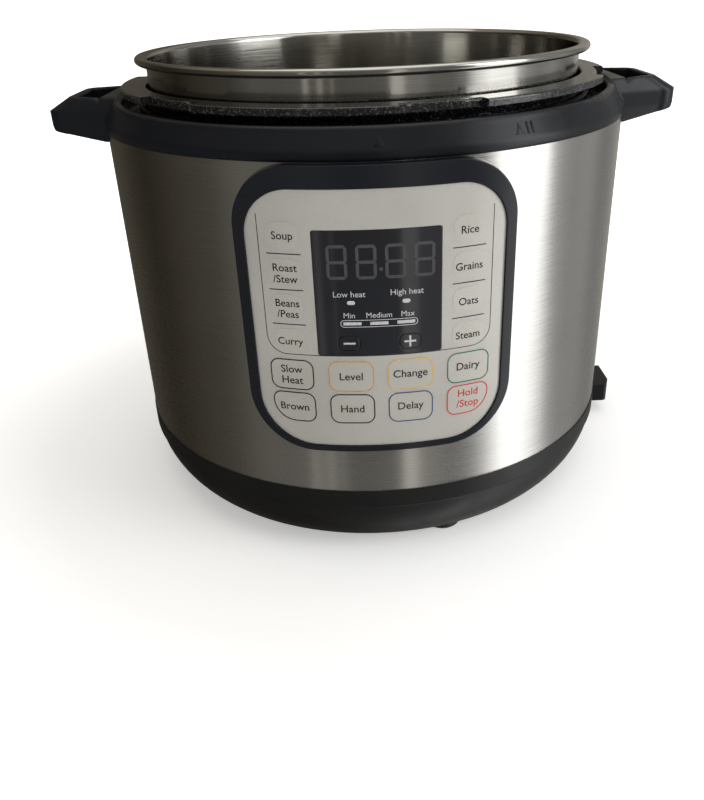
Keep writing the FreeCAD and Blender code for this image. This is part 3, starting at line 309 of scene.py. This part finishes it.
LOOKS = {
    "ring_black": moulded("ring_black", (0.0045, 0.0055, 0.008), (0.007, 0.0085, 0.012), 0.24, 0.34,
                          edge=0.0025, specular_ior_level=0.28),
    "base_black": moulded("base_black", (0.006, 0.006, 0.0065), (0.01, 0.01, 0.0105), 0.34, 0.46,
                          specular_ior_level=0.3),
    "part_black": moulded("part_black", (0.016, 0.016, 0.016), (0.03, 0.03, 0.03), 0.45, 0.6, 1200.0, 0.2),
    "part_grey": moulded("part_grey", (0.16, 0.16, 0.16), (0.24, 0.24, 0.24), 0.4, 0.55),
    "bezel_black": moulded("bezel_black", (0.006, 0.0075, 0.011), (0.009, 0.011, 0.015), 0.2, 0.28,
                           grain=1500.0, strength=0.05, specular_ior_level=0.38),
    "window_black": moulded("window_black", (0.007, 0.008, 0.012), (0.01, 0.011, 0.016), 0.08, 0.14,
                            grain=300.0, strength=0.02, coat_weight=0.8, coat_roughness=0.05),
    "shell_steel": brushed("shell_steel", (0.5, 0.485, 0.46), (0.62, 0.605, 0.58), 0.22, 0.3,
                           stretch=2600.0, anisotropy=1.0, lines=0.02),
    "pot_steel": brushed("pot_steel", (0.38, 0.37, 0.34), (0.49, 0.48, 0.445), 0.09, 0.16,
                         stretch=1800.0, anisotropy=0.8, lines=0.015),
    "zinc_steel": plated("zinc_steel", (0.6, 0.6, 0.6), 0.25, 0.42),
    "plate_silver": plated("plate_silver", (0.62, 0.62, 0.6), 0.35, 0.5),
    "pin_brass": plated("pin_brass", (0.72, 0.58, 0.32), 0.2, 0.35),
    "cast": cast_look(),
    "hammered": hammered_coat(),
    "rubber": rubber_look(),
    "board": board_look(),
    "coil": coil_look(),
    "cup": clear_cup(),
    "overlay": silver_paint("overlay_silver"),
    "key": silver_paint("key_silver", 1.02),
    "ink_dark": ink("ink_dark", (0.016, 0.015, 0.014)),
    "ink_white": ink("ink_white", (0.5, 0.51, 0.52)),
    "ink_dim": ink("ink_dim", (0.062, 0.062, 0.066)),
    "ink_gold": ink("ink_gold", (0.55, 0.3, 0.1)),
    "ink_amber": ink("ink_amber", (0.62, 0.42, 0.14)),
    "ink_green": ink("ink_green", (0.03, 0.16, 0.11)),
    "ink_blue": ink("ink_blue", (0.03, 0.07, 0.2)),
    "ink_red": ink("ink_red", (0.55, 0.03, 0.03)),
}

SLOT_LOOKS = {
    "base_plastic": "base_black", "ring_plastic": "ring_black", "rubber": "rubber",
    "shell_steel": "shell_steel", "pot_steel": "pot_steel", "flange_coat": "hammered",
    "zinc_steel": "zinc_steel", "cast_aluminium": "cast",
    "overlay_silver": "overlay", "key_silver": "key", "bezel_plastic": "bezel_black",
    "window_black": "window_black", "board_green": "board", "component_black": "part_black",
    "switch_grey": "part_grey", "copper_coil": "coil", "cup_clear": "cup", "plate_silver": "plate_silver",
    "pin_brass": "pin_brass",
}

for part in frame["record"]["subparts"]:
    finish = LOOKS[SLOT_LOOKS[part["material_slot"]]].material
    mesh = nodes[part["node"]].data
    mesh.materials.clear()
    mesh.materials.append(finish)

# ------------------------------------------------------------------ print on the curved panel


def outer_radius(name):
    """Largest distance of a node from the pot's axis."""
    return max(v.co.xy.length for v in nodes[name].data.vertices)


PANEL_RADIUS = outer_radius("panel_overlay")
KEY_RADIUS = outer_radius("key_upper_2")
GLASS_RADIUS = outer_radius("display_window")
SIGN_RADIUS = outer_radius("key_plus")
WINDOW_LOW, WINDOW_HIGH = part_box("display_window")
FILM = 0.05 * MM
PRINT_STEP = 1.5 * MM


def add_object(name, mesh, look, body):
    piece = bpy.data.objects.new(name, mesh)
    bpy.context.scene.collection.objects.link(piece)
    mesh.materials.append(LOOKS[look].material)
    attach(piece, body)
    return piece


def wrap(mesh, radius, azimuth=0.0, height=0.0):
    """Bends a flat drawing (x across, y up) onto a cylinder about the pot's axis."""
    for vertex in mesh.vertices:
        x, y, lift = vertex.co
        angle = azimuth + x / radius
        distance = radius + lift
        vertex.co = Vector((distance * math.sin(angle), -distance * math.cos(angle), height + y))
    return mesh


def strips(work, mesh):
    """Writes a flat bmesh to a mesh, cut into strips narrow enough to bend and facing up."""
    for face in work.faces:
        if face.normal.z < 0:
            face.normal_flip()
    low = min(v.co.x for v in work.verts)
    high = max(v.co.x for v in work.verts)
    at = math.ceil(low / PRINT_STEP) * PRINT_STEP
    while at < high:
        everything = list(work.verts) + list(work.edges) + list(work.faces)
        bmesh.ops.bisect_plane(work, geom=everything, plane_co=(at, 0, 0), plane_no=(1, 0, 0))
        at += PRINT_STEP
    work.to_mesh(mesh)
    work.free()
    return mesh


def sheet_mesh(name, loops):
    """A flat mesh from closed outlines, cut into strips narrow enough to bend."""
    work = bmesh.new()
    for outer, holes in loops:
        rings = [outer] + holes
        edges = []
        for ring in rings:
            corners = [work.verts.new((x, y, 0.0)) for x, y in ring]
            edges += [work.edges.new((a, b)) for a, b in zip(corners, corners[1:] + corners[:1])]
        bmesh.ops.triangle_fill(work, use_beauty=True, edges=edges)
    mesh = bpy.data.meshes.new(name)
    return strips(work, mesh)


def rounded_ring(half_x, half_y, radii, grow=0.0, steps=7, centre=(0.0, 0.0)):
    """Corner points of a rounded rectangle; radii go from the low left corner anticlockwise."""
    points = []
    for i, (sign_x, sign_y) in enumerate(((-1, -1), (1, -1), (1, 1), (-1, 1))):
        radius = max(radii[i] + grow, 0.05 * MM)
        x = centre[0] + sign_x * (half_x + grow - radius)
        y = centre[1] + sign_y * (half_y + grow - radius)
        for k in range(steps + 1):
            angle = math.pi + i * math.pi / 2 + k * math.pi / 2 / steps
            points.append((x + radius * math.cos(angle), y + radius * math.sin(angle)))
    return points


def outline_loop(half_x, half_y, radii, width, centre=(0.0, 0.0)):
    """A printed line of a given width just inside a rounded rectangle."""
    outer = rounded_ring(half_x, half_y, radii, 0.0, centre=centre)
    inner = rounded_ring(half_x, half_y, radii, -width, centre=centre)
    return outer, [inner]


def bar_loop(x0, x1, y0, y1):
    return [(x0, y0), (x1, y0), (x1, y1), (x0, y1)], []


def text_mesh(name, words, size, bold=0.0, line_gap=1.05):
    """Flat text, centred on the origin, as a mesh of thin strips."""
    curve = bpy.data.curves.new(name, "FONT")
    curve.body = words
    curve.size = size
    curve.align_x = "CENTER"
    curve.align_y = "CENTER"
    curve.space_line = line_gap
    curve.resolution_u = 4
    curve.offset = size * bold
    holder = bpy.data.objects.new(name, curve)
    bpy.context.scene.collection.objects.link(holder)
    bpy.context.view_layer.update()
    mesh = bpy.data.meshes.new_from_object(holder)
    bpy.data.objects.remove(holder)
    bpy.data.curves.remove(curve)
    mesh.materials.clear()
    xs = [v.co.x for v in mesh.vertices]
    ys = [v.co.y for v in mesh.vertices]
    middle = Vector(((min(xs) + max(xs)) / 2, (min(ys) + max(ys)) / 2, 0))
    mesh.transform(Matrix.Translation(-middle))
    work = bmesh.new()
    work.from_mesh(mesh)
    return strips(work, mesh)


def key_place(name):
    """Azimuth and height of a key's middle, and its half sizes, from its node."""
    cap = [v.co for v in nodes[name].data.vertices if v.co.xy.length > PANEL_RADIUS - 0.5 * MM]
    angles = [math.atan2(v.x, -v.y) for v in cap]
    heights = [v.z for v in cap]
    azimuth = (min(angles) + max(angles)) / 2
    half = (max(angles) - min(angles)) / 2 * KEY_RADIUS
    return azimuth, (min(heights) + max(heights)) / 2, half, (max(heights) - min(heights)) / 2


def key_label(name, words, size, look, shift=0.0):
    azimuth, height, _, _ = key_place(name)
    mesh = wrap(text_mesh(name + "_text", words, size, 0.008), KEY_RADIUS + FILM, azimuth, height + shift)
    add_object(name + "_text", mesh, look, name + "_body")


def key_corners(name, corner, cut):
    """Corner radii of a key; the lower row's outermost keys have one wide corner."""
    radii = [corner] * 4
    if name == "key_lower_1":
        radii[0] = cut
    if name == "key_lower_4":
        radii[1] = cut
    return radii


def key_border(name, look):
    azimuth, height, half_x, half_y = key_place(name)
    inset, width = 0.12 * MM, 0.55 * MM
    radii = key_corners(name, 4.4 * MM, 10.3 * MM)
    mesh = sheet_mesh(name + "_border", [outline_loop(half_x - inset, half_y - inset, radii, width)])
    add_object(name + "_border", wrap(mesh, KEY_RADIUS + FILM, azimuth, height), look, name + "_body")


LABEL = 5.2 * MM
SIDE_WORDS = {
    "key_left_1": "Soup", "key_left_2": "Roast\n/Stew", "key_left_3": "Beans\n/Peas", "key_left_4": "Curry",
    "key_right_1": "Rice", "key_right_2": "Grains", "key_right_3": "Oats", "key_right_4": "Steam",
}
BOTTOM_WORDS = {
    "key_upper_1": ("Slow\nHeat", "ink_dark"), "key_upper_2": ("Level", "ink_gold"),
    "key_upper_3": ("Change", "ink_amber"), "key_upper_4": ("Dairy", "ink_green"),
    "key_lower_1": ("Brown", "ink_dark"), "key_lower_2": ("Hand", "ink_dark"),
    "key_lower_3": ("Delay", "ink_blue"), "key_lower_4": ("Hold\n/Stop", "ink_red"),
}


def print_keys():
    for name, words in SIDE_WORDS.items():
        key_label(name, words, LABEL * 0.92, "ink_dark", -0.6 * MM)
    for name, (words, border) in BOTTOM_WORDS.items():
        key_border(name, border)
        key_label(name, words, LABEL, "ink_red" if border == "ink_red" else "ink_dark")
    for name, upright in (("key_minus", False), ("key_plus", True)):
        azimuth, height, _, _ = key_place(name)
        reach, thick = 2.6 * MM, 0.42 * MM
        bars = [bar_loop(-reach, reach, -thick, thick)]
        if upright:
            bars += [bar_loop(-thick, thick, thick, reach), bar_loop(-thick, thick, -reach, -thick)]
        mesh = wrap(sheet_mesh(name + "_sign", bars), SIGN_RADIUS + FILM, azimuth, height)
        add_object(name + "_sign", mesh, "ink_white", name + "_body")


def panel_film():
    """The silver film that runs on under the print, seen in the narrow gaps round the keys."""
    clear, reach, lift = 0.009 * MM, 0.45 * MM, 0.03 * MM
    for name in list(SIDE_WORDS) + list(BOTTOM_WORDS):
        azimuth, height, half_x, half_y = key_place(name)
        radii = key_corners(name, 4.5 * MM, 10.4 * MM)
        outer = rounded_ring(half_x, half_y, radii, reach)
        inner = rounded_ring(half_x, half_y, radii, clear)
        mesh = wrap(sheet_mesh(name + "_film", [(outer, [inner])]), PANEL_RADIUS + lift, azimuth, height)
        add_object(name + "_film", mesh, "overlay", "housing")


def segment_loop(x, y, length, upright, thick=1.35 * MM):
    """One bar of a seven-segment digit, pointed at both ends."""
    half, t = length / 2, thick / 2
    shape = [(-half, 0), (-half + t, -t), (half - t, -t), (half, 0), (half - t, t), (-half + t, t)]
    if upright:
        shape = [(-b, a) for a, b in shape]
    return [(x + a, y + b) for a, b in shape], []


def print_display():
    """Four unlit digits with a colon, two lamps, a bar in three parts and their words, on the window."""
    face = GLASS_RADIUS + FILM
    base = WINDOW_LOW.z
    row = base + 42.65 * MM
    middle = 1.4 * MM
    wide, tall, pitch = 7.4 * MM, 6.8 * MM, 12.3 * MM
    segments = []
    for i in range(4):
        x = (i - 1.5) * pitch + middle
        for dy in (-tall, 0.0, tall):
            segments.append(segment_loop(x, row + dy, wide, False))
        for dx in (-wide / 2, wide / 2):
            for dy in (-tall / 2, tall / 2):
                segments.append(segment_loop(x + dx, row + dy, tall, True))
    dot = 0.8 * MM
    for dy in (-3.2 * MM, 3.2 * MM):
        segments.append((rounded_ring(dot, dot, [dot] * 4, centre=(middle, row + dy)), []))
    add_object("display_digits", wrap(sheet_mesh("display_digits", segments), face), "ink_dim", "housing")

    lamps = []
    for x in (-11.8 * MM, 11.8 * MM):
        lamps.append((rounded_ring(1.7 * MM, 0.9 * MM, [0.85 * MM] * 4, centre=(x, base + 24.75 * MM)), []))
    bar = base + 15.15 * MM
    for x in (-11.6 * MM, 0.0, 11.6 * MM):
        lamps.append((rounded_ring(3.9 * MM, 0.713 * MM, [0.2 * MM] * 4, centre=(x, bar)), []))
    lamps.append(outline_loop(16.7 * MM, 1.7 * MM, [1.6 * MM] * 4, 0.28 * MM, centre=(0.0, bar)))
    add_object("display_lamps", wrap(sheet_mesh("display_lamps", lamps), face), "ink_white", "housing")

    upper, lower = (28.55 * MM, 3.7 * MM), (18.95 * MM, 3.5 * MM)
    labels = {
        "low": ("Low heat", -12.4 * MM, upper), "high": ("High heat", 12.2 * MM, upper),
        "min": ("Min", -12.8 * MM, lower), "mid": ("Medium", 0.0, lower), "max": ("Max", 12.4 * MM, lower),
    }
    for name, (words, x, (rise, size)) in labels.items():
        mesh = wrap(text_mesh("display_" + name, words, size), face, x / GLASS_RADIUS, base + rise)
        add_object("display_" + name, mesh, "ink_white", "housing")


def print_frame():
    """Lines of the two side groups: a border round the keys and short rules between them."""
    line = 0.32 * MM
    rule_half, rule_middle, rule_thick = 7.6 * MM, 39.6 * MM, 0.44 * MM
    bottom, side = WINDOW_LOW.z - 0.4 * MM, 50.6 * MM
    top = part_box("key_left_1")[1].z + 3.0 * MM
    inner = PANEL_RADIUS * math.asin(WINDOW_HIGH.x / PANEL_RADIUS)
    radius = 9.0 * MM
    quarter = [k * math.pi / 20 for k in range(11)]
    rules = [(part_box(f"key_left_{i}")[0].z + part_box(f"key_left_{i + 1}")[1].z) / 2 for i in (1, 2, 3)]
    loops = []
    for sign in (-1, 1):
        bends = []
        for bend in (radius, radius - line):
            bends.append([(sign * (side - radius + bend * math.sin(a)), bottom + radius - bend * math.cos(a))
                          for a in quarter])
        strip = [(sign * inner, bottom)] + bends[0] + [(sign * side, top), (sign * (side - line), top)]
        strip += bends[1][::-1] + [(sign * inner, bottom + line)]
        loops.append((strip, []))
        for y in rules:
            loops.append(bar_loop(sign * rule_middle - rule_half, sign * rule_middle + rule_half,
                                  y - rule_thick / 2, y + rule_thick / 2))
    loops.append(bar_loop(-inner, inner, bottom, bottom + line))
    mesh = wrap(sheet_mesh("panel_rules", loops), PANEL_RADIUS + FILM)
    add_object("panel_rules", mesh, "ink_dark", "housing")


print_keys()
panel_film()
print_display()
print_frame()

# ------------------------------------------------------------------ raised marks on the top ring


def ring_marks():
    """Alignment marks for the lid, raised on the sloping side of the ring: an arrow head and two bars."""
    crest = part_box("top_ring")[1].z
    radius_low, z_low = SHELL_RADIUS + 0.2 * MM, crest - 10.4 * MM
    radius_high, z_high = SHELL_RADIUS - 4.2 * MM, crest - 2.8 * MM
    lift, taper = 0.35 * MM, 0.78
    work = bmesh.new()

    def put(x, y, rise, azimuth):
        share = min(max(y + 0.5, 0.0), 1.0)
        radius = radius_low + (radius_high - radius_low) * share + rise
        angle = azimuth + x / radius
        return (radius * math.sin(angle), -radius * math.cos(angle), z_low + (z_high - z_low) * share)

    arrow = [(-2.2, -0.28), (2.2, -0.28), (0.0, 0.3)]
    bars = [[(x, -0.3), (x + 1.2, -0.3), (x + 1.2, 0.3), (x, 0.3)] for x in (4.0, 6.6)]
    shapes = {math.radians(1.0): [arrow], math.radians(27.0): [arrow] + bars}
    for azimuth, polygons in shapes.items():
        for polygon in polygons:
            base = [work.verts.new(put(x * MM, y, 0.0, azimuth)) for x, y in polygon]
            cx = sum(x for x, _ in polygon) / len(polygon)
            cy = sum(y for _, y in polygon) / len(polygon)
            top = [work.verts.new(put((cx + (x - cx) * taper) * MM, cy + (y - cy) * taper, lift, azimuth))
                   for x, y in polygon]
            work.faces.new(top)
            for a, b, c, d in zip(base, base[1:] + base[:1], top[1:] + top[:1], top):
                work.faces.new((a, b, c, d))
    bmesh.ops.recalc_face_normals(work, faces=work.faces)
    mesh = bpy.data.meshes.new("ring_marks")
    work.to_mesh(mesh)
    work.free()
    add_object("ring_marks", mesh, "ring_black", "housing")


ring_marks()

# ------------------------------------------------------------------ inner pot


def lathe(name, profile, steps=360):
    """A profile of (radius, height) points turned about the pot's axis; both its ends lie on the axis."""
    rings = profile[1:-1]
    points = [(0.0, 0.0, profile[0][1]), (0.0, 0.0, profile[-1][1])]
    for radius, height in rings:
        for k in range(steps):
            angle = 2 * math.pi * k / steps
            points.append((radius * math.cos(angle), radius * math.sin(angle), height))
    last = 2 + (len(rings) - 1) * steps
    faces = []
    for k in range(steps):
        after = (k + 1) % steps
        faces.append((0, 2 + after, 2 + k))
        faces.append((1, last + k, last + after))
        for j in range(len(rings) - 1):
            low, high = 2 + j * steps, 2 + (j + 1) * steps
            faces.append((low + k, low + after, high + after, high + k))
    mesh = bpy.data.meshes.new(name)
    mesh.from_pydata(points, [], faces)
    mesh.shade_smooth()
    return mesh


def arc(centre, radius, start, end, steps=10):
    """Points of an arc in the (radius, height) plane, angles in degrees."""
    turns = [math.radians(start + (end - start) * k / steps) for k in range(steps + 1)]
    return [(centre[0] + radius * math.cos(a), centre[1] + radius * math.sin(a)) for a in turns]


def pressed_pot():
    """The lift-out pot with a rolled rim, a pressed corner and faint rings turned into its floor."""
    low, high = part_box("inner_pot")
    bead, reach, wall = 1.7 * MM, 3.6 * MM, 0.9 * MM
    outside = high.x - reach - bead
    inside = outside - wall
    corner, floor_top = 8.0 * MM, low.z + 4.0 * MM
    inner_corner = corner - wall
    neck, mouth = 1.0 * MM, 2.5 * MM
    ring_count, ring_start, ring_pitch, ring_half, ring_rise = 6, 6.0 * MM, 12.0 * MM, 1.0 * MM, 0.15 * MM
    profile = [(0.0, low.z), (outside - corner, low.z)]
    profile += arc((outside - corner, low.z + corner), corner, -90, 0)[1:]
    under = high.z - 2 * bead
    profile += [(outside, under - neck)]
    profile += arc((outside + neck, under - neck), neck, 180, 90, 6)[1:]
    profile += arc((high.x - bead, high.z - bead), bead, -90, 90, 16)
    profile += arc((inside + mouth, high.z - mouth), mouth, 90, 180)
    profile += arc((inside - inner_corner, floor_top + inner_corner), inner_corner, 0, -90)
    for k in range(ring_count):
        at = inside - inner_corner - ring_start - ring_pitch * k
        profile += [(at, floor_top), (at - ring_half, floor_top + ring_rise), (at - 2 * ring_half, floor_top)]
    profile += [(0.0, floor_top)]
    pot = add_object("pressed_pot", lathe("pressed_pot", profile), "pot_steel", "pot")
    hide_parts("inner_pot")


pressed_pot()

# ------------------------------------------------------------------ floor, light and camera


def floor():
    """A pale floor that glows with painted light, weakly near the object and plain white away from it; the
    steel doesn't mirror it.
    """
    mesh = bpy.data.meshes.new("floor")
    reach = 40.0
    mesh.from_pydata([(-reach, -reach, 0), (reach, -reach, 0), (reach, reach, 0), (-reach, reach, 0)], [],
                     [(0, 1, 2, 3)])
    plane = bpy.data.objects.new("floor", mesh)
    bpy.context.scene.collection.objects.link(plane)
    look = Look("floor_paper", (0.9, 0.9, 0.9), 0.8, emission_color=(1.0, 1.0, 1.0, 1.0))
    look.tint(look.noise(3.0, 3.0), (0.88, 0.88, 0.88), (0.93, 0.93, 0.93))
    split = look.add("ShaderNodeSeparateXYZ")
    look.link(look.around_axis(), split.inputs[0])
    # Painted light: the floor glows at 0.4 within 0.2 m of the axis, rising to full strength at 0.55 m.
    look.link(look.spread(split.outputs[2], 0.4, 1.0, 0.2, 0.55), look.shader.inputs["Emission Strength"])
    look.bump(look.noise(60.0), 0.02)
    mesh.materials.append(look.material)
    plane.visible_glossy = False


# Light that the steel mirrors, by azimuth in degrees from the front, positive to the right: a dark
# room on the left, a wide window on the right and thin bright gaps between them. The levels were worked
# out by hand, from the steel's brightness in the photo and in a render, compared about every 6 degrees.
ROOM = (
    (-180, 0.10), (-161, 0.10), (-149, 0.075), (-137, 0.07), (-124, 0.047), (-112, 0.03), (-99, 0.053),
    (-85, 0.072), (-72, 0.085), (-58, 0.157), (-45, 0.155), (-31.6, 0.17), (-30.3, 0.9), (-29, 0.17),
    (-24.3, 0.17), (-23.1, 0.8), (-21.9, 0.17), (-17.4, 0.15), (-16.5, 0.5), (-15.6, 0.14), (0, 0.16),
    (11, 0.18), (13, 0.75), (18, 0.7), (20, 0.32), (28, 0.3), (33, 0.2), (44, 0.2), (51, 0.35), (57, 1.3),
    (66, 2.2), (80, 2.0), (84, 0.9), (90, 0.5), (99, 0.36), (112, 0.42), (124, 0.25), (137, 0.28),
    (149, 0.42), (162, 0.3), (180, 0.10),
)
ROOM_TOP = 0.42

# Its colour, by share of a full turn from straight behind, by the left, the front and the right.
ROOM_TINTS = (
    (0.0, (1.0, 0.9, 0.72)), (0.2, (1.0, 0.86, 0.64)), (0.33, (1.0, 0.96, 0.86)),
    (0.6, (1.0, 0.98, 0.93)), (0.68, (0.97, 0.985, 1.0)), (0.85, (1.0, 1.0, 0.98)),
    (1.0, (1.0, 0.9, 0.72)),
)


def world():
    """A studio that only the object sees; the camera sees plain white."""
    scene = bpy.context.scene
    sky = bpy.data.worlds.new("studio")
    scene.world = sky
    sky.use_nodes = True
    sky.node_tree.nodes.clear()
    graph = Graph(sky.node_tree)

    coords = graph.add("ShaderNodeTexCoord")
    split = graph.add("ShaderNodeSeparateXYZ")
    graph.link(coords.outputs["Generated"], split.inputs[0])
    x, y, z = split.outputs
    share = graph.math("ADD", graph.math("DIVIDE", graph.azimuth(x, y), 2 * math.pi), 0.5)
    ramp = graph.add("ShaderNodeFloatCurve")
    curve = ramp.mapping.curves[0]
    ramp.mapping.use_clip = False
    points = [((a + 180.0) / 360.0, value) for a, value in ROOM]
    curve.points[0].location = points[0]
    curve.points[1].location = points[-1]
    for point in points[1:-1]:
        curve.points.new(*point)
    for point in curve.points:
        point.handle_type = "VECTOR"
    ramp.mapping.update()
    graph.link(share, ramp.inputs["Value"])

    overhead = graph.add("ShaderNodeMapRange", interpolation_type="SMOOTHSTEP")
    graph.link(z, overhead.inputs["Value"])
    overhead.inputs["From Min"].default_value = 0.35
    overhead.inputs["From Max"].default_value = 0.85
    mix = graph.add("ShaderNodeMix", data_type="FLOAT")
    graph.link(overhead.outputs["Result"], mix.inputs["Factor"])
    graph.link(ramp.outputs[0], mix.inputs["A"])
    mix.inputs["B"].default_value = ROOM_TOP

    room = graph.add("ShaderNodeBackground")
    graph.link(mix.outputs["Result"], room.inputs["Strength"])
    tone = graph.add("ShaderNodeValToRGB")
    graph.link(share, tone.inputs["Fac"])
    while len(tone.color_ramp.elements) < len(ROOM_TINTS):
        tone.color_ramp.elements.new(0.5)
    for element, (place, color) in zip(tone.color_ramp.elements, ROOM_TINTS):
        element.position = place
        element.color = (*color, 1.0)
    graph.link(tone.outputs["Color"], room.inputs["Color"])
    plain = graph.add("ShaderNodeBackground")
    plain.inputs["Color"].default_value = (1.0, 1.0, 1.0, 1.0)
    plain.inputs["Strength"].default_value = 1.0
    path = graph.add("ShaderNodeLightPath")
    both = graph.add("ShaderNodeMixShader")
    graph.link(path.outputs["Is Camera Ray"], both.inputs[0])
    graph.link(room.outputs[0], both.inputs[1])
    graph.link(plain.outputs[0], both.inputs[2])
    out = graph.add("ShaderNodeOutputWorld")
    graph.link(both.outputs[0], out.inputs["Surface"])
    scene.view_settings.view_transform = "Standard"
    scene.view_settings.look = "None"


def area_light(name, place, target, size, power, color=(1.0, 1.0, 1.0)):
    lamp = bpy.data.lights.new(name, "AREA")
    lamp.shape = "RECTANGLE"
    lamp.size, lamp.size_y = size
    lamp.energy = power
    lamp.color = color
    item = bpy.data.objects.new(name, lamp)
    item.location = place
    item.rotation_euler = (Vector(target) - Vector(place)).to_track_quat("-Z", "Y").to_euler()
    bpy.context.scene.collection.objects.link(item)


def lights():
    area_light("overhead", (0.1, 0.1, 1.5), (0, 0, 0.1), (1.6, 1.6), 9.0)
    area_light("window", (1.3, -0.6, 0.7), (0, 0, 0.12), (0.8, 1.2), 7.0, (1.0, 0.99, 0.97))


# Fitted by a scratch script to the circles of the rim, ring, housing and base in the photo.
CAMERA = {
    "turn": -1.35,        # degrees round the pot's axis from straight in front
    "distance": 0.4514,
    "height": 0.2646,
    "pitch": 27.16,
    "roll": -2.0,
    "lens": 35.47,
    "shift": (-0.0270, -0.0289),
}


def camera():
    lens = bpy.data.cameras.new("camera")
    lens.lens = CAMERA["lens"]
    lens.sensor_width = 36.0
    lens.sensor_fit = "AUTO"
    lens.shift_x, lens.shift_y = CAMERA["shift"]
    lens.clip_start = 0.01
    item = bpy.data.objects.new("camera", lens)
    orbit = Matrix.Rotation(math.radians(CAMERA["turn"]), 4, "Z")
    stand = Matrix.Translation((0, -CAMERA["distance"], CAMERA["height"]))
    aim = Matrix.Rotation(math.radians(90.0 - CAMERA["pitch"]), 4, "X")
    roll = Matrix.Rotation(math.radians(CAMERA["roll"]), 4, "Z")
    item.matrix_world = orbit @ stand @ aim @ roll
    bpy.context.scene.collection.objects.link(item)
    bpy.context.scene.camera = item


floor()
world()
lights()
camera()
